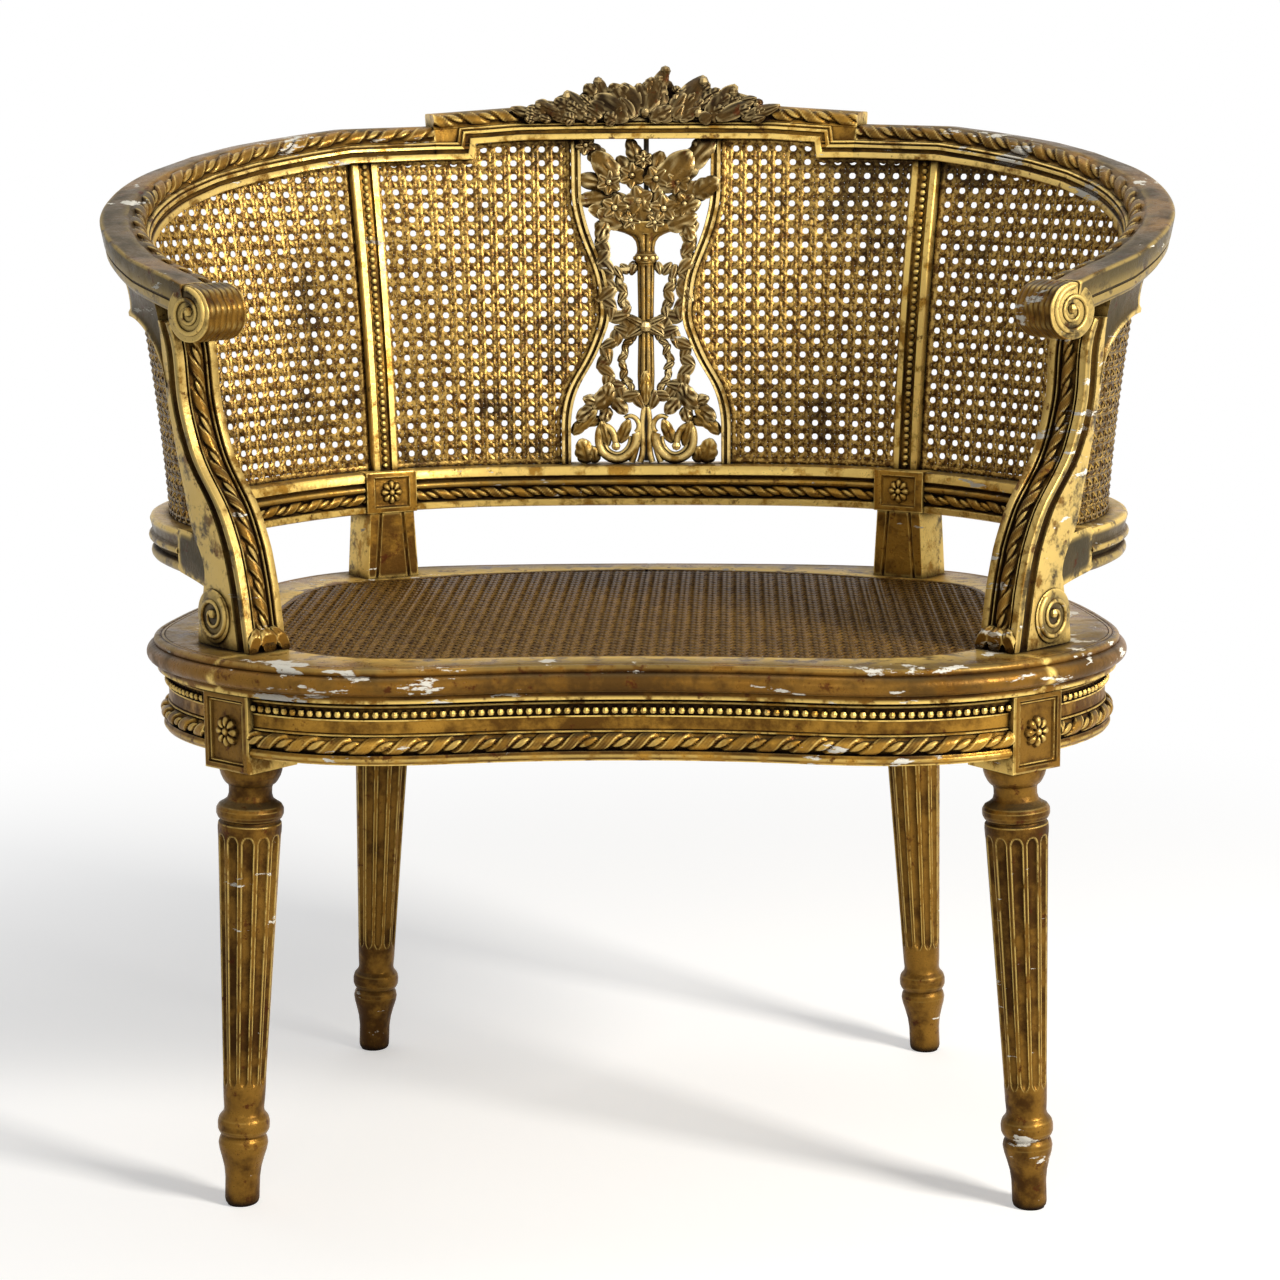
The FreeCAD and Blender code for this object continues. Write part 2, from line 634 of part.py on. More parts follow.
def build_posts():
    depth, proud = size("post_depth") / 2, size("post_block_proud")
    block_base, block_top = LOW_RAIL_BOTTOM, LOW_RAIL_TOP
    foot = ruled([post_section(SEAT_TOP, size("post_width"), -depth, depth),
                  post_section(block_base, size("post_neck_width"), -depth, depth)])
    wide, rim = size("post_block_width"), size("block_border")
    block = ruled([post_section(block_base, wide, -depth - proud, depth),
                   post_section(block_top, wide, -depth - proud, depth)])
    first, last = post_section(block_base, wide, -depth - proud, depth)[:2]
    along_face = last - first
    face = Placement((first + last) / 2, Rotation(UP, math.degrees(math.atan2(along_face.y, along_face.x))))
    tall = block_top - block_base
    deep = size("block_recess")
    recess = Part.makeBox(wide - 2 * rim, rim, tall - 2 * rim, Vector(rim - wide / 2, deep - rim, rim))
    recess.Placement = face
    flower = rosette(size("rosette_radius") * POST_ROSETTE_SHARE, size("rosette_relief"))
    flower.translate(Vector(0, deep, tall / 2))
    flower.Placement = face.multiply(flower.Placement)
    end = rail_bottom(POST_SHARE) - 2 * CLEAR
    count = 8
    stile = ruled([stile_section(block_top + (end - block_top) * i / count) for i in range(count + 1)])
    add_pair("back_post", foot.fuse([block.cut(recess), stile, flower]))


# Arm supports: front and back edges, as shares of the foot's length, by share of height
# from the seat to the rail.
SUPPORT_FRONT_SHARES = [(0, 0.04), (0.1, 0.09), (0.3, 0.25), (0.41, 0.4), (0.5, 0.62), (0.57, 0.8),
                        (0.72, 0.92), (0.89, 0.87), (0.94, 0.94), (1.0, 0.96)]
SUPPORT_BACK_SHARES = [(0, 1.0), (0.09, 0.93), (0.165, 0.89), (0.195, 1.32), (0.325, 1.32), (0.43, 1.04),
                       (0.5, 1.12), (0.58, 1.2), (0.72, 1.21), (0.89, 1.16), (1.0, 1.15)]


# Middle of the foot's scroll: share of the height, share of the foot's length.
FOOT_SCROLL_SHARES = (0.094, 0.62)


def support_levels():
    return sorted({share for share, _ in SUPPORT_FRONT_SHARES + SUPPORT_BACK_SHARES})


def support_height(rise, share):
    return SEAT_TOP + (rail_bottom(share) - 2 * CLEAR - SEAT_TOP) * rise


def foot_scroll():
    """The scroll through the foot of an arm support, proud of both its faces."""
    rise, place = FOOT_SCROLL_SHARES
    share = arm_share(place * size("support_foot"))
    axis = back_frame(share)[1]
    width = size("support_thickness") + 2 * size("foot_scroll_relief")
    return drum(back_point(share, support_height(rise, share)), axis, size("foot_scroll_radius"), width)


def build_arm_supports():
    half, foot = size("support_thickness") / 2, size("support_foot")
    sections = []
    for rise in support_levels():
        front = arm_share(blended(SUPPORT_FRONT_SHARES, rise) * foot)
        back = arm_share(blended(SUPPORT_BACK_SHARES, rise) * foot)
        ends = [back_point(share, support_height(rise, share)) for share in (front, back)]
        run = ends[1] - ends[0]
        level_run = Vector(run.x, run.y, 0)
        corners = []
        for share, out in ((front, -half), (back, -half), (back, half), (front, half)):
            corner = back_point(share, support_height(rise, share), out)
            corner.z = ends[0].z + run.z * (corner - ends[0]).dot(level_run) / level_run.dot(level_run)
            corners.append(corner)
        sections.append(corners)
    add_pair("arm_support", ruled(sections).fuse(foot_scroll()))


# Splat: half width of its stiles and girth of its torch, by share of height between rails,
# as shares of the splat's half width and of the torch's radius.
SPLAT_WIDTH_SHARES = [(0, 1.0), (0.15, 1.0), (0.23, 0.93), (0.34, 0.68), (0.45, 0.52), (0.58, 0.57),
                      (0.72, 0.78), (0.81, 0.86), (1.0, 0.86)]
TORCH_SHARES = [(0, 1.3), (0.12, 1.5), (0.18, 0.8), (0.4, 0.62), (0.43, 1.0), (0.47, 0.62), (0.62, 0.8),
                (0.65, 1.15), (0.67, 0.85), (0.73, 2.0), (0.75, 3.6), (0.81, 4.4), (0.87, 3.8), (0.9, 1.6),
                (1.0, 1.4)]
# Centre lines of the carved strands, as shares of the half width and of the height.
STRAND_SHARES = [
    [(0.05, 0.04), (0.45, 0.02), (0.75, 0.05), (0.86, 0.12), (0.7, 0.19), (0.45, 0.17), (0.36, 0.1),
     (0.5, 0.065), (0.62, 0.1)],
    [(0.05, 0.27), (0.2, 0.31), (0.4, 0.3), (0.6, 0.35)],
    [(0.45, 0.79), (0.62, 0.72), (0.5, 0.62), (0.3, 0.6), (0.05, 0.64)],
    [(0.1, 0.91), (0.35, 0.96), (0.6, 0.97), (0.66, 0.91), (0.45, 0.87), (0.2, 0.86)],
]


def splat_half(rise):
    return blended(SPLAT_WIDTH_SHARES, rise) * size("splat_half_width")


def back_height(share, rise):
    """Height at a share of the rise from the lower rail to the top rail."""
    base, top = low_rail_top(share) + CLEAR, rail_bottom(share) - 2 * CLEAR
    return base + (top - base) * rise


def strand(places):
    """A six-sided carved strand through places on the splat's plane."""
    points = [back_point(back_share(run * size("splat_half_width")), back_height(0, rise))
              for run, rise in places]
    curve = smooth_curve(points)
    count, sides = 2 * len(places), 6
    sections = []
    for i in range(count + 1):
        place = curve.FirstParameter + (curve.LastParameter - curve.FirstParameter) * i / count
        point, tangent = curve.value(place), curve.tangent(place)[0]
        side = tangent.cross(Vector(0, 1, 0)).normalize()
        deep = side.cross(tangent).normalize()
        angles = [2 * math.pi * (k + 1 / 2) / sides for k in range(sides)]
        sections.append([point + (side * math.cos(a) + deep * math.sin(a)) * (size("scroll_thickness") / 2)
                         for a in angles])
    return ruled(sections)


def build_splat():
    width, deep = size("splat_stile_width"), size("splat_stile_depth") / 2
    sections = []
    for rise, _ in SPLAT_WIDTH_SHARES:
        outer, inner = back_share(splat_half(rise)), back_share(splat_half(rise) - width)
        corners = [(inner, -deep), (outer, -deep), (outer, deep), (inner, deep)]
        sections.append([back_point(share, back_height(0, rise), out) for share, out in corners])
    stile = ruled(sections)
    torch = []
    radius, sides = size("torch_radius"), 8
    for rise, wide in TORCH_SHARES:
        ring = []
        for k in range(sides):
            angle = 2 * math.pi * (k + 1 / 2) / sides
            share = back_share(math.cos(angle) * radius * wide)
            depth = math.sin(angle) * min(radius * wide, deep)
            ring.append(back_point(share, back_height(0, rise), depth))
        torch.append(ring)
    right = [stile] + [strand(places) for places in STRAND_SHARES]
    left = [solid.mirror(Vector(), Vector(1, 0, 0)) for solid in right]
    add_part("pierced_splat", ruled(torch).fuse(right + left))
    foot, head = (back_point(0, back_height(0, rise), size("rod_setback")) for rise in (0, 1))
    add_part("splat_rod", Part.makeCylinder(size("rod_radius"), (head - foot).Length, foot, head - foot))


def drawn_to(lines, place, reach):
    """A place, or the nearest of the lines where one is within reach of it."""
    nearest = min(lines, key=lambda line: abs(line - place))
    return nearest if abs(nearest - place) < reach else place


def gridded(lines, count):
    """Lines of a grid, with those of a row of openings added, and the openings' own spans."""
    reach = BAR_SHARE / (2 * count)
    spans = [tuple(drawn_to(lines, place, reach) for place in window) for window in windows(count)]
    return sorted(set(lines) | {place for span in spans for place in span}), spans


def within(spans, lines, index):
    """Whether the cell after a line of the grid lies in one of the spans."""
    middle = (lines[index] + lines[index + 1]) / 2
    return any(low < middle < high for low, high in spans)


def panel(inner_edge, outer_edge, rises, breaks):
    """A thin caned sheet on the back's surface between two upright edges, with openings."""
    half = size("panel_thickness") / 2
    columns = round(size("panel_openings"))
    wide = (outer_edge(1 / 2) - inner_edge(1 / 2)) * HALF_LENGTH
    middle = (outer_edge(1 / 2) + inner_edge(1 / 2)) / 2
    tall = back_height(middle, 1) - back_height(middle, 0)
    places, across_spans = gridded([0, *breaks, 1], columns)
    rises, rise_spans = gridded(rises, round(columns * tall / wide))
    inner, outer = [], []
    for place in places:
        shares = [inner_edge(rise) + (outer_edge(rise) - inner_edge(rise)) * place for rise in rises]
        face = [(share, back_height(share, rise)) for share, rise in zip(shares, rises)]
        inner.append([back_point(share, level, -half) for share, level in face])
        outer.append([back_point(share, level, half) for share, level in face])
    cells = {(i, k) for i in range(len(places) - 1) for k in range(len(rises) - 1)
             if not (within(across_spans, places, i) and within(rise_spans, rises, k))}
    return sheet_between(inner, outer, cells)


def sheet_between(inner, outer, cells):
    """A thin solid between two like grids of points, over the given cells of the grid."""
    quads = []
    for i, k in sorted(cells):
        quads.append([inner[i][k], inner[i + 1][k], inner[i + 1][k + 1], inner[i][k + 1]])
        quads.append([outer[i][k], outer[i][k + 1], outer[i + 1][k + 1], outer[i + 1][k]])
        sides = {(i - 1, k): ((i, k), (i, k + 1)), (i + 1, k): ((i + 1, k), (i + 1, k + 1)),
                 (i, k - 1): ((i, k), (i + 1, k)), (i, k + 1): ((i, k + 1), (i + 1, k + 1))}
        for beyond, ((a, b), (c, d)) in sides.items():
            if beyond not in cells:
                quads.append([inner[a][b], outer[a][b], outer[c][d], inner[c][d]])
    return faced_solid(quads)


def build_panels():
    stile = back_share(size("stile_width") / 2 + CLEAR)

    def splat_edge(rise):
        return back_share(splat_half(rise) + CLEAR)

    def post_inner(rise):
        return POST_SHARE - stile

    def post_outer(rise):
        return POST_SHARE + stile

    foot = arm_share(size("support_foot"))
    base, top = low_rail_top(arm_share(size("support_ear"))), rail_bottom(foot)
    low = (base - SEAT_TOP) / (top - SEAT_TOP)

    def arm_edge(rise):
        length = blended(SUPPORT_BACK_SHARES, low + (1 - low) * rise) * size("support_foot")
        return arm_share(length + 2 * CLEAR)

    span = post_inner(1) - splat_edge(1)
    breaks = [(back_share(size("crest_shoulder") + side * size("shoulder_slope") / 2) - splat_edge(1)) / span
              for side in (-1, 1)]
    add_pair("back_cane", panel(splat_edge, post_inner, [rise for rise, _ in SPLAT_WIDTH_SHARES], breaks))
    rises = [0] + [(rise - low) / (1 - low) for rise in support_levels() if rise > low]
    add_pair("side_cane", panel(post_outer, arm_edge, rises, []))


# Crest carving: height of its silhouette by share of its half length.
CREST_SILHOUETTE_SHARES = [(0, 0.95), (0.1, 1.0), (0.2, 0.72), (0.3, 0.78), (0.45, 0.62), (0.6, 0.55),
                           (0.75, 0.35), (0.88, 0.3), (1.0, 0.1)]
# Its section: outward share of its depth, share of its height at that place.
CARVING_SECTION_SHARES = [(-1, 0), (-1, 0.5), (-0.6, 1), (0, 1), (0.3, 0.5), (0.3, 0)]


def build_crest_carving():
    half, deep = size("crest_carving_half_length"), size("crest_carving_depth")
    tall = size("crest_carving_height")
    right = [(share * half, tall * rise) for share, rise in CREST_SILHOUETTE_SHARES]
    sections = []
    for run, rise in [(-run, rise) for run, rise in right[:0:-1]] + right:
        share = back_share(run)
        base = crest_top(share) + CLEAR
        sections.append([back_point(share, base + rise * height, deep * out)
                         for out, height in CARVING_SECTION_SHARES])
    add_part("crest_carving", ruled(sections))


build_seat()
build_aprons()
build_legs()
build_top_rails()
build_low_rails()
build_posts()
build_arm_supports()
build_splat()
build_panels()
build_crest_carving()
doc.removeObject(probe.Name)

whole = Part.makeCompound([obj.Shape for obj in parts]).BoundBox
shift = Vector(0, -(whole.YMin + whole.YMax) / 2, 0)
for obj in parts:
    obj.Placement = Placement(shift, Rotation()).multiply(obj.Placement)
doc.recompute()

for obj in doc.Objects:
    if "Invalid" in obj.State or "Error" in obj.State:
        raise RuntimeError("%s did not build: %s" % (obj.Label, obj.State))
for obj in parts:
    if obj.Shape.isNull() or not obj.Shape.isValid():
        raise RuntimeError("%s has no sound shape" % obj.Label)

os.makedirs("parts", exist_ok=True)
for obj in parts:
    obj.Shape.exportStep("parts/%s.step" % obj.Label)
print("%d sub-parts, origin moved %.2f mm along Y" % (len(parts), shift.y))
print("whole %.1f x %.1f x %.1f mm" % (whole.XLength, whole.YLength, whole.ZLength))
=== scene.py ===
"""Looks of a gilded, caned tub armchair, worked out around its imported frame.

All shapes are worked out in millimetres as functions of two parameters on grids, and are
put into meshes in metres, in the frame's own place.
"""
import logging
import math
from collections.abc import Callable
from dataclasses import dataclass, field
from enum import Enum

import bpy
import numpy as np
from mathutils import Matrix, Vector


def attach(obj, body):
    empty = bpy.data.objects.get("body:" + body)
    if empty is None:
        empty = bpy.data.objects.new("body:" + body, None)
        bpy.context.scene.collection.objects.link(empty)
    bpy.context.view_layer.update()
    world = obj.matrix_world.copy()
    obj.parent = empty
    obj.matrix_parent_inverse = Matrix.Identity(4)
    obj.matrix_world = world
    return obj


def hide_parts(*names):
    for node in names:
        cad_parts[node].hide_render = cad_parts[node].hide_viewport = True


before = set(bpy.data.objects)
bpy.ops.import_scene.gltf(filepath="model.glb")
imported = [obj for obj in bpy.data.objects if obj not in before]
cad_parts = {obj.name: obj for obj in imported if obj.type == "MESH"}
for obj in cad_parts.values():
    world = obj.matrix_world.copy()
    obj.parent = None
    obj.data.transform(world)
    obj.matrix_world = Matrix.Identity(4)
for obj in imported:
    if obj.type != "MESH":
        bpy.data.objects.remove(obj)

LOG = logging.getLogger("armchair")
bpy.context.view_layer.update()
MM = 0.001
TURN = 2 * math.pi
Array = np.ndarray
Colour = tuple[float, float, float]
Socket = bpy.types.NodeSocket
Rows = tuple[tuple[float, ...], ...]
Surface = Callable[[Array, Array, Array], Array]
Inside = Callable[[Array, Array], Array]
NO_CORNERS = np.zeros((0, 3), int)
WHITE = (1.0, 1.0, 1.0)
UP = np.array([0.0, 0.0, 1.0])
DEPTHWISE = np.array([0.0, 1.0, 0.0])


class Side(Enum):
    """Which half of the chair a piece belongs to, as the sign of its X."""
    RIGHT = 1
    LEFT = -1

    @property
    def word(self) -> str:
        """The side's name in lower case, as the frame's nodes use it."""
        return self.name.lower()


# Curves and grids

def spline(points: Array, closed: bool, steps: int = 120) -> Array:
    """Cubic spline through points, with chord lengths as its parameter.

    Second derivatives at the points are solved for, so that the first derivative runs
    through without a jump; an open end takes the slope of a cubic through four points.

    Args:
        points: rows of coordinates, without the first one repeated at the end.
        closed: whether the curve runs back to its first point.
        steps: samples between two given points.

    Returns:
        The sampled curve, one row a sample, with its last point.
    """
    points = np.asarray(points, float)
    ring = np.vstack([points, points[:1]]) if closed else points
    gaps = np.linalg.norm(np.diff(ring, axis=0), axis=1)
    count = len(points)
    rows, right = np.zeros((count, count)), np.zeros(points.shape)
    slopes = np.diff(ring, axis=0) / gaps[:, None]
    inner = np.arange(count) if closed else np.arange(1, count - 1)
    rows[inner, inner - 1] += gaps[inner - 1]
    rows[inner, inner] += 2 * (gaps[inner - 1] + gaps[inner])
    rows[inner, (inner + 1) % count] += gaps[inner]
    right[inner] = 6 * (slopes[inner] - slopes[inner - 1])
    if not closed:
        reach = min(4, count)
        place = np.concatenate([[0], np.cumsum(gaps)])
        ends = []
        for part, end in ((slice(0, reach), 0), (slice(-reach, None), -1)):
            fits = [np.polyfit(place[part], column[part], reach - 1) for column in points.T]
            ends.append(np.array([np.polyval(np.polyder(fit), place[end]) for fit in fits]))
        first, last = ends
        rows[0, :2] = 2 * gaps[0], gaps[0]
        rows[-1, -2:] = gaps[-1], 2 * gaps[-1]
        right[0], right[-1] = 6 * (slopes[0] - first), 6 * (last - slopes[-1])
    bend = np.linalg.solve(rows, right)
    bend = np.vstack([bend, bend[:1]]) if closed else bend
    share = np.linspace(0, 1, steps, endpoint=False)[None, :, None]
    gap = gaps[:, None, None]
    start, end = ring[:-1, None], ring[1:, None]
    lead, lag = bend[:-1, None], bend[1:, None]
    body = (lead * (1 - share) ** 3 + lag * share ** 3) * gap ** 2 / 6 \
        + (start - lead * gap ** 2 / 6) * (1 - share) + (end - lag * gap ** 2 / 6) * share
    return np.vstack([body.reshape(-1, points.shape[1]), ring[-1:]])


def sheet(number: Array) -> Array:
    """Corners of the squares between the neighbours in a grid of point numbers."""
    return np.stack([number[:-1, :-1], number[1:, :-1], number[1:, 1:], number[:-1, 1:]],
                    axis=-1).reshape(-1, 4)


def runs(points: Array) -> Array:
    """Length along a polyline from its start to each of its points."""
    return np.concatenate([[0], np.cumsum(np.linalg.norm(np.diff(points, axis=0), axis=1))])


def along(points: Array, places: Array) -> Array:
    """Points of a polyline at given lengths from its start."""
    reach = runs(points)
    return np.stack([np.interp(places, reach, column) for column in points.T], axis=-1)


def unit(vectors: Array) -> Array:
    """Vectors scaled to length one."""
    return vectors / np.maximum(np.linalg.norm(vectors, axis=-1, keepdims=True), 1e-12)


def arc(out: float, rise: float, radius: float, start: float, end: float, count: int) -> Array:
    """Points (out, rise) of an arc, from the outward axis towards the upward one in degrees."""
    angle = np.radians(np.linspace(start, end, count))
    return np.stack([out + radius * np.cos(angle), rise + radius * np.sin(angle)], axis=1)


class PlanCurve:
    """A smooth curve seen from above, measured by the length along it."""

    def __init__(self, points: Array, closed: bool, turned: float) -> None:
        """Sample the curve.

        Args:
            points: rows of (x, y) in millimetres.
            closed: whether it runs back to its start.
            turned: 1 if the outside is to the right of its run, -1 if to the left.
        """
        self.points = spline(points, closed)
        self.reach = runs(self.points)
        self.length = float(self.reach[-1])
        self.closed = closed
        tangent = np.gradient(self.points, self.reach, axis=0)
        if closed:
            tangent[0] = tangent[-1] = (tangent[0] + tangent[-1]) / 2
        tangent = unit(tangent)
        self.normals = np.stack([tangent[:, 1], -tangent[:, 0]], axis=1) * turned

    def at(self, places: Array) -> tuple[Array, Array]:
        """Points and outward normals, each with a zero height.

        Args:
            places: lengths from the start.

        Returns:
            Two arrays with a last axis of three.
        """
        places = np.asarray(places, float)
        if self.closed:
            places = np.mod(places, self.length)
        both = np.concatenate([self.points, self.normals], axis=1)
        values = np.stack([np.interp(places, self.reach, column) for column in both.T], axis=-1)
        level = np.zeros(places.shape + (1,))
        return (np.concatenate([values[..., :2], level], axis=-1),
                unit(np.concatenate([values[..., 2:], level], axis=-1)))


class Carving:
    """Grids of points gathered into one mesh object."""

    def __init__(self) -> None:
        """Start with nothing."""
        self.points: list[Array] = []
        self.quads: list[Array] = []
        self.corners: list[Array] = []
        self.count = 0

    def put(self, points: Array, quads: Array, corners: Array) -> None:
        """Add a closed skin, turned so that its faces look out.

        The faces' signed volume about the middle of the points tells which way they look.

        Args:
            points: rows of coordinates in millimetres.
            quads: rows of four point numbers.
            corners: rows of three point numbers.
        """
        middle = points.mean(axis=0)
        local = points - middle
        halves = np.concatenate([quads[:, [0, 1, 2]], quads[:, [0, 2, 3]], corners])
        a, b, c = (local[halves[:, k]] for k in range(3))
        if np.einsum("ij,ij->i", a, np.cross(b, c)).sum() < 0:
            quads, corners = quads[:, ::-1], corners[:, ::-1]
        self.points.append(points)
        self.quads.append(quads + self.count)
        self.corners.append(corners + self.count)
        self.count += len(points)

    def tube(self, grid: Array) -> None:
        """Add a closed skin over rings of points, with a cap on each end.

        Args:
            grid: points by ring and by place round the ring; each ring is closed.
        """
        rings, sides = grid.shape[:2]
        number = np.arange(rings * sides).reshape(rings, sides)
        number = np.concatenate([number, number[:, :1]], axis=1)
        total = rings * sides
        points = np.vstack([grid.reshape(-1, 3), grid[0].mean(axis=0), grid[-1].mean(axis=0)])
        first, last = number[0], number[-1]
        corners = np.vstack([np.stack([first[:-1], first[1:], np.full(sides, total)], axis=1),
                             np.stack([last[1:], last[:-1], np.full(sides, total + 1)], axis=1)])
        self.put(points, sheet(number), corners)

    def slab(self, front: Array, back: Array) -> None:
        """Add a closed skin over two like grids that face each other.

        Args:
            front, back: points by row and column.
        """
        rows, columns = front.shape[:2]
        shift = rows * columns
        number = np.arange(shift).reshape(rows, columns)
        rim = np.concatenate([number[0, :], number[1:, -1], number[-1, -2::-1], number[-2:0:-1, 0]])
        after = np.roll(rim, -1)
        quads = np.vstack([sheet(number), sheet(number + shift)[:, ::-1],
                           np.stack([rim, after, after + shift, rim + shift], axis=1)])
        points = np.vstack([front.reshape(-1, 3), back.reshape(-1, 3)])
        self.put(points, quads, NO_CORNERS)

    def bead(self, path: Array, radius: Array | float, across: Array, sides: int = 10,
             flat: float = 1.0) -> None:
        """Add a round strand along a path.

        Args:
            path: points of its middle.
            radius: one radius, or one a point.
            across: a vector that the strand's width is square to at the start.
            sides: points a ring.
            flat: share to which the ring is flattened along that vector.
        """
        tangent = unit(np.gradient(path, axis=0))
        side = unit(np.cross(tangent, np.broadcast_to(across, path.shape)))[:, None]
        up = np.cross(side[:, 0], tangent)[:, None]
        turn = np.linspace(0, TURN, sides, endpoint=False)
        radius = np.broadcast_to(np.asarray(radius, float), (len(path),))[:, None, None]
        way = side * np.cos(turn)[None, :, None] + up * (flat * np.sin(turn))[None, :, None]
        self.tube(path[:, None] + radius * way)

    def balls(self, centres: Array, radius: float) -> None:
        """Add small eight-sided balls.

        Args:
            centres: their middles.
            radius: their radius.
        """
        rings, sides = 4, 8
        polar = np.linspace(0, math.pi, rings + 1)[1:-1]
        turn = np.linspace(0, TURN, sides, endpoint=False)
        ring = np.stack([np.outer(np.sin(polar), np.cos(turn)), np.outer(np.sin(polar), np.sin(turn)),
                         np.outer(np.cos(polar), np.ones(sides))], axis=-1).reshape(-1, 3)
        shape = np.vstack([ring, [[0, 0, 1], [0, 0, -1]]])
        number = np.arange((rings - 1) * sides).reshape(rings - 1, sides)
        after = np.roll(number, -1, axis=1)
        quads = np.stack([number[:-1], number[1:], after[1:], after[:-1]], axis=-1).reshape(-1, 4)
        top, low = np.full(sides, len(ring)), np.full(sides, len(ring) + 1)
        corners = np.vstack([np.stack([number[0], after[0], top], axis=1),
                             np.stack([after[-1], number[-1], low], axis=1)])
        offset = (np.arange(len(centres)) * len(shape))[:, None, None]
        self.put((centres[:, None] + shape[None] * radius).reshape(-1, 3),
                 (quads[None] + offset).reshape(-1, 4), (corners[None] + offset).reshape(-1, 3))

    def bud(self, run: float, level: float, out: float, radius: float) -> None:
        """Add one ball on the back's surface."""
        self.balls(on_back(run, level, out)[None], radius)

    def copy_in(self, other: "Carving", mirrored: bool = False) -> None:
        """Add all of another carving, with the sign of its X changed if asked."""
        starts = np.cumsum([0] + [len(points) for points in other.points])
        for points, quads, corners, start in zip(other.points, other.quads, other.corners, starts):
            self.put(points * ([-1, 1, 1] if mirrored else 1), quads - start, corners - start)

    def on(self, side: Side) -> "Carving":
        """A copy, on the given side, of a carving worked out on the right.

        Args:
            side: where it goes.

        Returns:
            The copy.
        """
        copy = Carving()
        copy.copy_in(self, side is Side.LEFT)
        return copy

    def finish(self, name: str, finish: "Finish", slot: str, nodes: tuple[str, ...],
               sharp: float = 38.0) -> bpy.types.Object:
        """Make the object, dress it and hide the frame's nodes that it replaces.

        Args:
            name: the piece's name.
            finish: its material.
            slot: the record's material slot; not used.
            nodes: the frame's nodes that it replaces.
            sharp: angle in degrees above which an edge stays crisp.

        Returns:
            The object, in its place.
        """
        points = np.vstack(self.points) * MM + [0, ORIGIN_SHIFT * MM, 0]
        quads, corners = np.vstack(self.quads), np.vstack(self.corners)
        mesh = bpy.data.meshes.new(name)
        mesh.vertices.add(len(points))
        mesh.vertices.foreach_set("co", points.ravel())
        loops = np.concatenate([quads.ravel(), corners.ravel()])
        starts = np.concatenate([np.arange(len(quads)) * 4,
                                 len(quads) * 4 + np.arange(len(corners)) * 3])
        mesh.loops.add(len(loops))
        mesh.loops.foreach_set("vertex_index", loops.astype(np.int32))
        mesh.polygons.add(len(starts))
        mesh.polygons.foreach_set("loop_start", starts.astype(np.int32))
        mesh.polygons.foreach_set("use_smooth", np.ones(len(starts), bool))
        mesh.update(calc_edges=True)
        mesh.validate()
        mesh.set_sharp_from_angle(angle=math.radians(sharp))
        self.mark(mesh, points)
        piece = bpy.data.objects.new(name, mesh)
        bpy.context.scene.collection.objects.link(piece)
        mesh.materials.append(finish.material())
        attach(piece, "root")
        if nodes:
            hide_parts(*nodes)
        LOG.info("%s: %d points, %d faces", name, len(points), len(starts))
        return piece

    def mark(self, mesh: bpy.types.Mesh, points: Array) -> None:
        """Store how far each point looks up, and away from the sitter's place above the seat.

        Both are the point's normal times a unit way: straight up, or level and away from
        the middle of the sitting space. The finishes read the first for dust, and the second
        for painted shade on the sides that face away from the seat.

        Args:
            mesh: the piece's mesh.
            points: its points in metres.
        """
        normals = np.empty(len(points) * 3, np.float32)
        mesh.vertices.foreach_get("normal", normals)
        normals = normals.reshape(-1, 3)
        away = unit((points - [0, SITTER_PLACE * MM, 0]) * [1, 1, 0])
        # Outward facing above the seat, which the finishes read for painted shade.
        outside = (normals * away).sum(axis=1) * (points[:, 2] > (SEAT_TOP + 4.0) * MM)
        for name, values in (("upward", normals[:, 2]), ("outside", outside)):
            stored = mesh.attributes.new(name, "FLOAT", "POINT")
            stored.data.foreach_set("value", np.ascontiguousarray(values, np.float32))


# Finishes

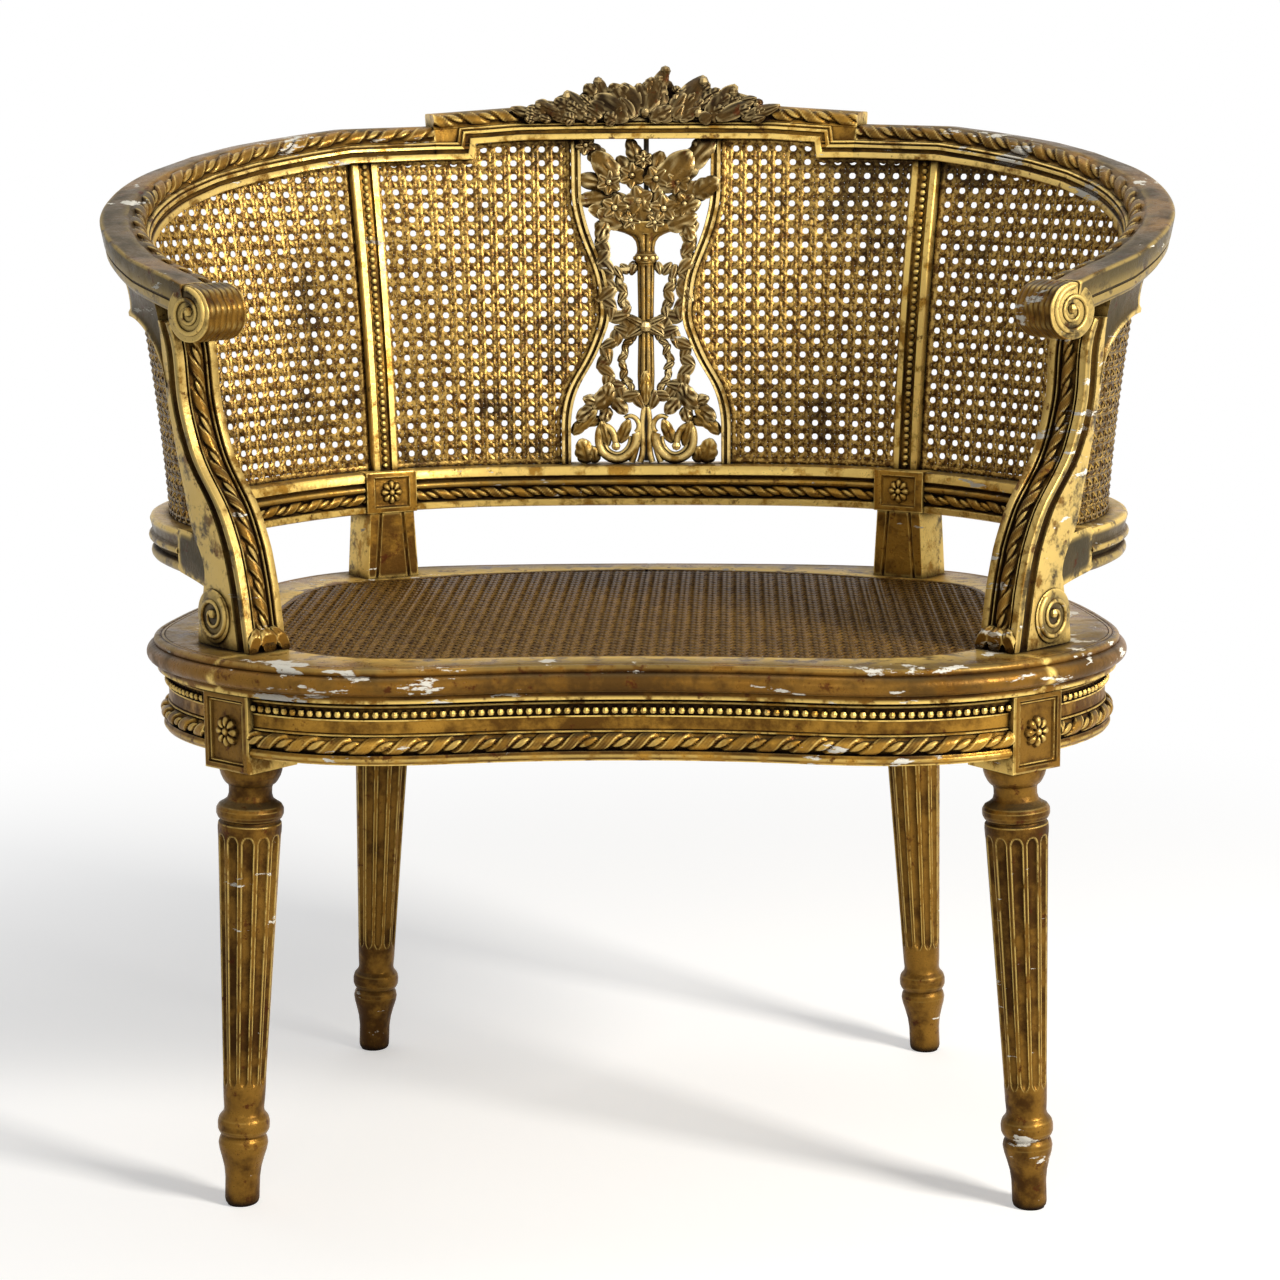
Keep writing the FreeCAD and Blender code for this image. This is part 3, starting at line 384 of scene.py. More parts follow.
class Nodes:
    """A short way to lay out the nodes of a new material or world."""

    def __init__(self, made: bpy.types.ID) -> None:
        """Start with no nodes.

        Args:
            made: the material or world.
        """
        self.made = made
        made.use_nodes = True
        self.tree = made.node_tree
        self.tree.nodes.clear()

    def add(self, kind: str, settings: dict | None = None, **inputs: object) -> bpy.types.Node:
        """Add a node.

        Args:
            kind: its type.
            settings: its own properties.
            inputs: values of its sockets, each a number, a colour or another socket. Sockets
                go by name, with underscores for spaces, or by i and a number.

        Returns:
            The node.
        """
        node = self.tree.nodes.new(kind)
        for key, value in (settings or {}).items():
            setattr(node, key, value)
        for key, value in inputs.items():
            socket = node.inputs[int(key[1:])] if key[0] == "i" and key[1:].isdigit() \
                else node.inputs[key.replace("_", " ")]
            if isinstance(value, bpy.types.NodeSocket):
                self.tree.links.new(value, socket)
            elif isinstance(value, tuple) and len(value) == 3 and socket.type == "RGBA":
                socket.default_value = value + (1.0,)
            else:
                socket.default_value = value
        return node

    def place(self) -> Socket:
        """The piece's own coordinates."""
        return self.add("ShaderNodeTexCoord").outputs["Object"]

    def stored(self, name: str) -> Socket:
        """A value that the mesh stores for each point."""
        return self.add("ShaderNodeAttribute", {"attribute_name": name}).outputs["Fac"]

    def openness(self, reach: float, samples: int) -> Socket:
        """1 in the open and less in hollows, looking as far as reach in metres."""
        return self.add("ShaderNodeAmbientOcclusion", {"samples": samples},
                        Distance=reach).outputs["AO"]

    def seen(self) -> Socket:
        """1 for rays from the camera, off gloss and through glass, and 0 for the rest.

        Returns:
            The socket.
        """
        light = self.add("ShaderNodeLightPath").outputs
        past = self.maths("MAXIMUM", light["Is Glossy Ray"], light["Is Transmission Ray"])
        return self.maths("MAXIMUM", light["Is Camera Ray"], past)

    def noise(self, place: Socket, scale: float, detail: float = 3.0, rough: float = 0.55) -> Socket:
        """Fractal noise between about 0.3 and 0.7."""
        return self.add("ShaderNodeTexNoise", Vector=place, Scale=scale, Detail=detail,
                        Roughness=rough).outputs["Fac"]

    def between(self, value: Socket, low: float, high: float) -> Socket:
        """A value mapped to 0 at low and 1 at high, with soft ends."""
        return self.add("ShaderNodeMapRange", {"interpolation_type": "SMOOTHSTEP"},
                        Value=value, From_Min=low, From_Max=high).outputs["Result"]

    def mix(self, share: Socket, low: object, high: object) -> Socket:
        """Two colours mixed."""
        return self.add("ShaderNodeMix", {"data_type": "RGBA"}, i0=share, i6=low, i7=high).outputs[2]

    def blend(self, share: Socket, low: object, high: object) -> Socket:
        """Two numbers mixed."""
        return self.add("ShaderNodeMix", {"data_type": "FLOAT"}, i0=share, i2=low, i3=high).outputs[0]

    def maths(self, kind: str, first: object, second: object) -> Socket:
        """One arithmetic step."""
        return self.add("ShaderNodeMath", {"operation": kind}, i0=first, i1=second).outputs[0]

    def times(self, first: object, second: object) -> Socket:
        """The product of two values."""
        return self.maths("MULTIPLY", first, second)

    def bump(self, strength: float, height: float, relief: Socket) -> Socket:
        """Normals bent by a relief of the given height in metres."""
        return self.add("ShaderNodeBump", Strength=strength, Distance=height,
                        Height=relief).outputs["Normal"]

    def wood(self, **inputs: object) -> bpy.types.Material:
        """Close the material with a principled surface.

        Args:
            inputs: values of the surface's sockets.

        Returns:
            The material.
        """
        shader = self.add("ShaderNodeBsdfPrincipled", **inputs).outputs["BSDF"]
        self.add("ShaderNodeOutputMaterial", Surface=shader)
        return self.made


@dataclass(frozen=True)
class Finish:
    """A named surface finish that makes its material once."""
    name: str

    def material(self) -> bpy.types.Material:
        """The material, made on first use."""
        found = bpy.data.materials.get(self.name)
        return found or self.make()

    def make(self) -> bpy.types.Material:
        """Lay out the material's nodes."""
        raise NotImplementedError


@dataclass(frozen=True)
class Gilding(Finish):
    """Old gold leaf over red-brown clay and white gesso: rubbed, with soiling and painted shade
    in its hollows, painted shade on its outer sides and painted highlights on its edges.

    Each scale is the noise's cells in a metre.
    """
    leaf: Colour = (0.41, 0.212, 0.030)
    # Lighter leaf on edges: burnished wear and painted highlight.
    burnish_and_highlight: Colour = (0.86, 0.60, 0.17)
    dull: Colour = (0.105, 0.047, 0.007)
    clay: Colour = (0.075, 0.018, 0.004)
    # Near black in the hollows: soiling and painted shade.
    grime_and_shade: Colour = (0.008, 0.003, 0.001)
    # Dust on upward faces, and painted shade on the sides that face away from the seat.
    tarnish_and_shade: Colour = (0.085, 0.068, 0.034)
    gesso: Colour = (0.80, 0.77, 0.68)
    dull_share: float = 0.62
    chips: float = 0.4
    hollow: float = 0.012
    roughness: float = 0.30
    metal: float = 0.5
    sheen: float = 0.08
    broad_scale: float = 10.0
    patch_scale: float = 52.0
    rubbed_scale: float = 90.0
    grain_scale: float = 420.0
    flake_scale: float = 60.0
    flake_stretch: tuple[float, float, float] = (0.4, 0.4, 1.5)

    def make(self) -> bpy.types.Material:
        """Lay the coats over each other, from the leaf to the chips, and dull their gloss.

        Returns:
            The material.
        """
        n = Nodes(bpy.data.materials.new(self.name))
        place = n.place()
        broad = n.noise(place, self.broad_scale, 4.0, 0.6)
        patch = n.noise(place, self.patch_scale, 5.0, 0.65)
        grain = n.noise(place, self.grain_scale, 3.0, 0.6)
        # Occlusion marks the hollows, which get soiling and painted shade, less gloss and more
        # roughness.
        shut = n.openness(self.hollow, 6)
        bare = n.between(shut, 0.42, 0.92)
        middle = 0.52 + 0.12 * (0.5 - self.dull_share)
        tone = n.maths("ADD", n.times(broad, 0.5), n.times(patch, 0.5))
        tone = n.between(tone, middle - 0.09, middle + 0.09)
        chip = self.chipped(n, place, shut)
        colour = self.worn(n, place, n.mix(tone, self.leaf, self.dull), broad, patch)
        # Hollows go near black: soiling and painted shade.
        colour = n.mix(chip, n.mix(bare, self.grime_and_shade, colour), self.gesso)
        metal = n.times(n.blend(bare, 0.1, self.metal), n.maths("SUBTRACT", 1.0, chip))
        rough = n.blend(bare, 0.8, n.blend(tone, self.roughness, self.roughness + 0.2))
        rough = n.maths("ADD", rough, n.times(n.maths("SUBTRACT", grain, 0.5), 0.3))
        relief = n.maths("ADD", n.times(grain, 0.35), n.times(patch, 1.2))
        relief = n.maths("SUBTRACT", relief, n.times(chip, 0.7))
        return n.wood(Base_Color=colour, Metallic=metal, Roughness=n.blend(chip, rough, 0.85),
                      Normal=n.bump(0.45, 0.0014, relief), Specular_IOR_Level=self.sheen)

    def worn(self, n: Nodes, place: Socket, colour: Socket, broad: Socket, patch: Socket) -> Socket:
        """The leaf with dust on its upward faces, painted shade on its outer sides, edges made
        lighter by burnished wear and painted highlight, and the clay that shows through.

        Args:
            n: the material's nodes.
            place: the piece's own coordinates.
            colour: the leaf.
            broad, patch: coarse and fine noise.

        Returns:
            The colour.
        """
        settled = n.times(n.between(n.stored("upward"), 0.45, 0.95), n.between(broad, 0.36, 0.52))
        colour = n.mix(n.times(settled, 0.7), colour, self.tarnish_and_shade)
        # Painted shade: sides above the seat that face away from it go dark.
        shaded_side = n.times(n.between(n.stored("outside"), 0.36, 0.62), n.blend(broad, 0.7, 0.98))
        colour = n.mix(shaded_side, colour, self.tarnish_and_shade)
        # Pointy edges go lighter: burnished wear and painted highlight.
        edge = n.between(n.add("ShaderNodeNewGeometry").outputs["Pointiness"], 0.508, 0.56)
        colour = n.mix(n.times(edge, n.between(patch, 0.36, 0.52)), colour, self.burnish_and_highlight)
        rubbed = n.between(n.noise(place, self.rubbed_scale, 6.0, 0.7), 0.58, 0.68)
        return n.mix(n.times(rubbed, 0.85), colour, self.clay)

    def chipped(self, n: Nodes, place: Socket, shut: Socket) -> Socket:
        """Share of bare gesso: noise stretched along the floor, where it passes a bound.

        Args:
            n: the material's nodes.
            place: the piece's own coordinates.
            shut: how open the place is; nothing chips in hollows.

        Returns:
            0 for leaf and 1 for gesso.
        """
        level = n.add("ShaderNodeMapping", {"vector_type": "POINT"}, Vector=place,
                      Scale=self.flake_stretch).outputs["Vector"]
        flakes = n.maths("ADD", n.times(n.noise(level, self.flake_scale, 6.0, 0.65), 0.7),
                         n.times(n.noise(place, 7.0, 2.0, 0.5), 0.3))
        bound = 0.66 - 0.10 * self.chips
        return n.times(n.between(flakes, bound, bound + 0.012), n.between(shut, 0.62, 0.86))


@dataclass(frozen=True)
class Cane(Finish):
    """Split cane with old gilding or bare: fibre streaks, stains, and painted shade in the gaps where
    strands cross and on the sides that face away from the seat.
    """
    pale: Colour = (0.52, 0.33, 0.085)
    deep: Colour = (0.11, 0.052, 0.011)
    # Stains in broad patches, and painted shade where strands cross.
    stain_and_gap_shade: Colour = (0.028, 0.016, 0.008)
    # Painted shade on the sides that face away from the seat.
    side_shade: Colour = (0.050, 0.038, 0.019)
    metal: float = 0.5
    sheen: float = 0.08
    stains: float = 0.75

    def make(self) -> bpy.types.Material:
        """Two tones by noise, stains in broad patches, painted shade on the outer sides and where
        strands cross.

        Returns:
            The material.
        """
        n = Nodes(bpy.data.materials.new(self.name))
        place = n.place()
        tone = n.between(n.noise(place, 210.0, 4.0, 0.7), 0.42, 0.58)
        broad = n.between(n.noise(place, 8.0, 5.0, 0.7), 0.55, 0.66)
        colour = n.mix(n.times(broad, self.stains), n.mix(tone, self.pale, self.deep), self.stain_and_gap_shade)
        # Painted shade on the sides above the seat that face away from it.
        shaded_side = n.times(n.between(n.stored("outside"), 0.25, 0.7), 0.7)
        # Painted shade where strands cross, found by occlusion, with the gloss taken off.
        bare = n.between(n.openness(0.004, 4), 0.30, 0.80)
        colour = n.mix(bare, self.stain_and_gap_shade, n.mix(shaded_side, colour, self.side_shade))
        return n.wood(Base_Color=colour, Metallic=n.times(bare, self.metal), Roughness=0.38,
                      Normal=n.bump(0.4, 0.0006, n.noise(place, 700.0, 2.0, 0.5)),
                      Specular_IOR_Level=self.sheen)


@dataclass(frozen=True)
class Plain(Finish):
    """A plain surface, a little mottled."""
    colour: Colour = (0.8, 0.8, 0.8)
    grain: float = 0.04
    roughness: float = 0.8

    def make(self) -> bpy.types.Material:
        """One colour, darker by the grain's share where noise is high.

        Returns:
            The material.
        """
        n = Nodes(bpy.data.materials.new(self.name))
        tone = n.between(n.noise(n.place(), 30.0), 0.3, 0.7)
        dark = tuple(c * (1 - self.grain) for c in self.colour)
        return n.wood(Base_Color=n.mix(tone, self.colour, dark), Roughness=self.roughness)


@dataclass(frozen=True)
class Paper(Finish):
    """A pale matt floor that fades to white away from the chair."""
    colour: Colour = (0.86, 0.86, 0.86)
    near: float = 0.5
    far: float = 1.7
    glow: float = 0.42

    def make(self) -> bpy.types.Material:
        """Matt near the origin, and plain white to camera and mirrors farther off.

        Returns:
            The material.
        """
        n = Nodes(bpy.data.materials.new(self.name))
        reach = n.add("ShaderNodeVectorMath", {"operation": "LENGTH"}, i0=n.place()).outputs["Value"]
        seen = n.seen()
        matt = n.add("ShaderNodeBsdfDiffuse", Color=self.colour).outputs["BSDF"]
        white = n.add("ShaderNodeEmission", Color=WHITE, Strength=1.0).outputs["Emission"]
        faint = n.add("ShaderNodeEmission", Color=WHITE, Strength=n.times(seen, self.glow))
        lit = n.add("ShaderNodeAddShader", i0=matt, i1=faint.outputs["Emission"]).outputs["Shader"]
        share = n.times(n.between(reach, self.near, self.far), seen)
        n.add("ShaderNodeOutputMaterial",
              Surface=n.add("ShaderNodeMixShader", i0=share, i1=lit, i2=white).outputs["Shader"])
        return n.made


FRAME_GILDING = Gilding("old_gilding")
LEG_GILDING = Gilding("leg_gilding", leaf=(0.24, 0.120, 0.018), dull=(0.060, 0.025, 0.004), chips=0.42,
                      hollow=0.018)
RIM_GILDING = Gilding("rim_gilding", leaf=(0.225, 0.103, 0.014), dull=(0.075, 0.031, 0.005),
                      tarnish_and_shade=(0.065, 0.042, 0.016), dull_share=0.5, chips=0.85)
# Darker leaf than the frame's: painted shade for the shaded sides of the arms and supports.
ARM_GILDING = Gilding("arm_gilding", leaf=(0.235, 0.118, 0.018), burnish_and_highlight=(0.74, 0.52, 0.16),
                      dull=(0.062, 0.028, 0.005), tarnish_and_shade=(0.060, 0.052, 0.030), chips=0.75)
CARVED_GILDING = Gilding("carved_gilding", leaf=(0.34, 0.190, 0.036), burnish_and_highlight=(0.90, 0.66, 0.24),
                         dull=(0.07, 0.036, 0.008), dull_share=0.6, chips=-0.2)
# Flowers and crest: darker leaf, painted shade among their crowded leaves.
FLOWER_GILDING = Gilding("flower_gilding", leaf=(0.150, 0.080, 0.016), burnish_and_highlight=(0.86, 0.66, 0.30),
                         dull=(0.026, 0.013, 0.004), dull_share=0.6, chips=0.1, hollow=0.02)
CREST_GILDING = Gilding("crest_gilding", leaf=(0.080, 0.043, 0.011), burnish_and_highlight=(0.46, 0.34, 0.15),
                        dull=(0.020, 0.011, 0.004), tarnish_and_shade=(0.018, 0.016, 0.009), dull_share=0.62,
                        chips=0.5, hollow=0.018)
BACK_CANE = Cane("gilded_cane")
# Darker than the back's cane: worn gilding, and painted shade on the seat's top.
SEAT_CANE = Cane("worn_seat_cane", pale=(0.20, 0.110, 0.024), deep=(0.075, 0.036, 0.008), metal=0.12,
                 stains=0.3)
DARK_ROD = Plain("dark_rod", colour=(0.03, 0.02, 0.012), grain=0.3, roughness=0.5)
FLOOR_PAPER = Paper("pale_floor")


# Shared outlines and levels of the chair

ORIGIN_SHIFT = -4.35
SITTER_PLACE = -150.0
HALF_WIDTH, REACH = 371.0, 264.0
SEAT_TOP, RIM_BOTTOM, BLOCK_BOTTOM = 440.0, 413.5, 352.5
LOW_BASE, LOW_TOP, BACK_TOP, ARM_TOP = 498.0, 533.5, 848.0, 720.0
FLARE, FLARE_STRAIGHT = 48.0, 0.35
RAIL_HEIGHT = 29.0
POST_SHARE, RAIL_END_SHARE = 0.335, 0.94
FRONT_LEG_SHARE, REAR_LEG_SHARE = 0.151, 0.382
CREST_HALF, SHOULDER, SHOULDER_SLOPE = 178.0, 146.0, 2.0
SEAT_SHARES = [(0, -0.924), (0.27, -0.951), (0.504, -0.996), (0.674, -0.957), (0.825, -0.834),
               (0.943, -0.644), (1.0, -0.43), (0.992, -0.189), (0.949, 0.114), (0.868, 0.417),
               (0.755, 0.667), (0.566, 0.807), (0.296, 0.867), (0, 0.883)]
CANE_SHARES = [(0, -0.826), (0.323, -0.852), (0.553, -0.848), (0.69, -0.742), (0.782, -0.53),
               (0.811, -0.227), (0.803, 0.076), (0.784, 0.303), (0.733, 0.473), (0.647, 0.549),
               (0.547, 0.61), (0.45, 0.674), (0.28, 0.742), (0, 0.79)]
BACK_SHARES = [(0, 0.837), (0.243, 0.826), (0.445, 0.784), (0.625, 0.678), (0.782, 0.53),
               (0.895, 0.367), (0.965, 0.235), (1.008, 0.068), (1.019, -0.133), (0.981, -0.333),
               (0.903, -0.511), (0.744, -0.758)]
SIDE_RISE_SHARES = [(0.248, 0.867), (0.352, 0.852), (0.4, 0.816), (0.476, 0.75), (0.534, 0.687),
                    (0.592, 0.594), (0.658, 0.48), (0.76, 0.289), (0.842, 0.133), (0.913, 0.047),
                    (0.94, 0.0)]
CREST_RISE_SHARES = [(0, 1.0), (0.075, 1.0), (0.151, 0.995), (0.248, 0.953)]
SPLAT_WIDTH_SHARES = [(0, 1.0), (0.15, 1.0), (0.23, 0.93), (0.34, 0.68), (0.45, 0.52), (0.58, 0.57),
                      (0.72, 0.78), (0.81, 0.86), (1.0, 0.86)]
SPLAT_HALF = 75.5
EAR, SUPPORT_TOP = 99.0, 690.0


def closed_outline(shares: list[tuple[float, float]]) -> PlanCurve:
    """Closed plan curve, anticlockwise from the middle of the front."""
    right = np.array(shares) * [HALF_WIDTH, REACH]
    return PlanCurve(np.vstack([right, right[-2:0:-1] * [-1, 1]]), True, 1.0)


def back_plan() -> PlanCurve:
    """Plan of the back from the left arm's front round to the right arm's front."""
    right = np.array(BACK_SHARES) * [HALF_WIDTH, REACH]
    return PlanCurve(np.vstack([right[:0:-1] * [-1, 1], right]), False, -1.0)


SEAT = closed_outline(SEAT_SHARES)
CANE_EDGE = closed_outline(CANE_SHARES)
BACK = back_plan()
HALF_LENGTH = BACK.length / 2
POST_RUN = POST_SHARE * HALF_LENGTH


def flare(level: Array) -> Array:
    """Outward lean of the back: a straight share and a squared share of the rise.

    Args:
        level: heights above the floor.

    Returns:
        Distances outward.
    """
    start = (LOW_BASE + LOW_TOP) / 2
    share = np.maximum(0, (np.asarray(level, float) - start) / (BACK_TOP - start))
    return FLARE * (FLARE_STRAIGHT * share + (1 - FLARE_STRAIGHT) * share ** 2)


def on_back(run: Array, level: Array, out: Array) -> Array:
    """Points of the back's curved surface.

    Args:
        run: length along the plan from its middle, right positive.
        level: height above the floor.
        out: distance outward from the surface.

    Returns:
        Points, with the arguments' common shape.
    """
    run, level, out = np.broadcast_arrays(np.asarray(run, float), np.asarray(level, float),
                                          np.asarray(out, float))
    point, normal = BACK.at(run + HALF_LENGTH)
    point = point + normal * (flare(level) + out)[..., None]
    point[..., 2] = level
    return point


def read(shares: list[tuple[float, float]], share: Array) -> Array:
    """A table of share pairs read along straight lines."""
    table = np.array(shares)
    return np.interp(share, table[:, 0], table[:, 1])


def side_top(run: Array) -> Array:
    """Top of the arm rail over a place on the plan."""
    return ARM_TOP + read(SIDE_RISE_SHARES, np.abs(run) / HALF_LENGTH) * (BACK_TOP - ARM_TOP)


def crest_top(run: Array) -> Array:
    """Top of the crest rail over a place on the plan."""
    return ARM_TOP + read(CREST_RISE_SHARES, np.abs(run) / HALF_LENGTH) * (BACK_TOP - ARM_TOP)


def rail_bottom(run: Array) -> Array:
    """Underside of the top rail, which steps down inside the crest's shoulders."""
    step = np.clip((np.abs(run) - SHOULDER) / SHOULDER_SLOPE + 0.5, 0, 1)
    return crest_top(run) * (1 - step) + side_top(run) * step - RAIL_HEIGHT


def low_base(run: Array) -> Array:
    """Underside of the lower rail, which drops a little towards the arms."""
    return LOW_BASE - 8.0 * np.clip((np.abs(run) - POST_RUN) / (HALF_LENGTH - EAR - POST_RUN), 0, 1)


def low_top(run: Array) -> Array:
    """Top of the lower rail over a place on the plan."""
    return low_base(run) + (LOW_TOP - LOW_BASE)


SPLAT_TOP = float(rail_bottom(0.0))


def splat_edge(level: Array) -> Array:
    """Outer edge of the splat's stile at a height."""
    return SPLAT_HALF * read(SPLAT_WIDTH_SHARES, (level - LOW_TOP) / (SPLAT_TOP - LOW_TOP))


def swept(places: Array, outs: Array, levels: Array) -> Array:
    """A moulding carried round the seat's outline.

    Args:
        places: lengths along the outline.
        outs, levels: the profile's distances outward and heights, by place and point.

    Returns:
        Points by place and by profile point.
    """
    point, normal = SEAT.at(places)
    grid = point[:, None] + normal[:, None] * outs[..., None]
    grid[..., 2] = levels
    return grid


def twist(places: Array, centre: tuple[float, float], radius: float, angles: Array,
          pitch: float) -> tuple[Array, Array]:
    """A half-round rod wound with a ribbon, as a profile that changes along its run.

    The ribbon's edges run slantwise over the rod. Over the ribbon's share of each turn the
    radius swells like half a sine with a crease along its middle, and over the rest it is a
    low bud on the bare rod.

    Args:
        places: lengths along the moulding.
        centre: the rod's centre in the profile.
        radius: the ribbon's largest radius.
        angles: angles of the profile's points about the centre, in degrees.
        pitch: length of a turn.

    Returns:
        Outward and upward coordinates by place and by profile point.
    """
    turn = np.radians(angles)[None, :]
    across = (turn - turn.mean()) / (turn.max() - turn.min())
    phase = np.mod(places[:, None] / pitch - 0.62 * across, 1.0)
    ribbon = 0.56
    wound = np.clip(phase / ribbon, 0, 1)
    swell = 0.66 + 0.34 * np.minimum(1, 2.4 * np.sin(math.pi * wound).clip(0)) ** 0.5
    for crease in (0.2, 0.8):
        swell = swell - 0.05 * np.exp(-((wound - crease) / 0.05) ** 2)
    bare = np.clip((phase - ribbon) / (1 - ribbon), 0, 1)
    bud = 0.58 + 0.34 * np.sqrt(np.clip(1 - (across / 0.36) ** 2 - ((bare - 0.5) / 0.46) ** 2, 0, 1))
    reach = radius * np.where(phase < ribbon, swell, bud)
    return centre[0] + reach * np.cos(turn), centre[1] + reach * np.sin(turn)


def profile(places: Array, *parts: Array | tuple[Array, Array]) -> tuple[Array, Array]:
    """Join still profile parts and twisted ones into one profile by place.

    Args:
        places: lengths along the moulding.
        parts: rows of (out, rise), or a pair of arrays by place and point.

    Returns:
        Outward and upward coordinates by place and by profile point.
    """
    outs, rises = [], []
    for part in parts:
        if isinstance(part, tuple):
            outs.append(part[0])
            rises.append(part[1])
        else:
            still = np.asarray(part, float)
            outs.append(np.tile(still[:, 0], (len(places), 1)))
            rises.append(np.tile(still[:, 1], (len(places), 1)))
    return np.concatenate(outs, axis=1), np.concatenate(rises, axis=1)


def rosette_height(x: Array, y: Array, radius: float, petals: int = 8) -> Array:
    """Relief of a carved flower: petals that arch from a ring, round a raised boss.

    Args:
        x, y: place from the flower's middle.
        radius: tip of a petal.
        petals: how many.

    Returns:
        Height between 0 and 1.
    """
    far = np.hypot(x, y) / radius
    turn = np.arctan2(y, x)
    lobe = np.abs(np.cos(turn * petals / 2)) ** 0.7
    edge = 0.72 + 0.28 * lobe
    petal = np.sqrt(np.clip(1 - ((far - 0.58) / (edge - 0.58 + 1e-6)).clip(-1.6, 1.2) ** 2, 0, 1)) \
        * (0.45 + 0.55 * lobe)
    petal = np.where(far < edge, petal, 0)
    boss = np.sqrt(np.clip(1 - (far / 0.3) ** 2, 0, 1))
    return np.maximum(petal * 0.85, boss)


def leaf(base: tuple, tip: tuple, width: float, cup: float = 2.5, curl: float = 2.0, thick: float = 2.6,
         lobes: int = 3, face: tuple = (0.0, 0.0, -1.0)) -> tuple[Array, Array]:
    """Front and back of a carved leaf on the back's surface.

    The half width follows half a sine with scalloped edges. The face arches across like a
    parabola, with a crease along the rib and slanted veins, and the tip curls forward.

    Args:
        base, tip: ends of the rib as (run, level, outward).
        width: across the widest place.
        cup: how far the middle stands over the edges.
        curl: how far the tip comes forward.
        thick: thickness.
        lobes: scallops along each edge.
        face: way in which the leaf looks, as (run, level, outward).

    Returns:
        Two like grids of points.
    """
    start, end, look = (np.array(v, float) for v in (base, tip, face))
    rib = end - start
    side = np.cross(look, rib)
    side = side / np.linalg.norm(side)
    up = np.cross(rib, side)
    up = up / np.linalg.norm(up)
    up = up if up @ look > 0 else -up
    share, across = np.meshgrid(np.linspace(0.0, 1.0, 16), np.linspace(-1, 1, 11), indexing="ij")
    half = width / 2 * np.sin(math.pi * (0.04 + 0.93 * share) ** 0.85) ** 0.6
    half = half * (0.86 + 0.14 * np.abs(np.sin(lobes * math.pi * share)))
    arch = cup * (1 - across ** 2) * np.sin(math.pi * share) ** 0.6
    crease = 0.3 * cup * np.exp(-(across / 0.16) ** 2) * np.sin(math.pi * share)
    veins = 0.16 * cup * np.cos(TURN * lobes * (share - 0.35 * np.abs(across))) * np.abs(across)
    lift = arch - crease + veins + curl * share ** 3
    place = start + rib * share[..., None] + side * (half * across)[..., None]
    front = place + up * lift[..., None]
    back = place + up * (lift * 0.4 - thick)[..., None]
    return on_back(*np.moveaxis(front, -1, 0)), on_back(*np.moveaxis(back, -1, 0))


# The seat frame

QUARTERS = {"front": (-FRONT_LEG_SHARE, FRONT_LEG_SHARE), "right": (FRONT_LEG_SHARE, REAR_LEG_SHARE),
            "rear": (REAR_LEG_SHARE, 1 - REAR_LEG_SHARE),
            "left": (1 - REAR_LEG_SHARE, 1 - FRONT_LEG_SHARE)}


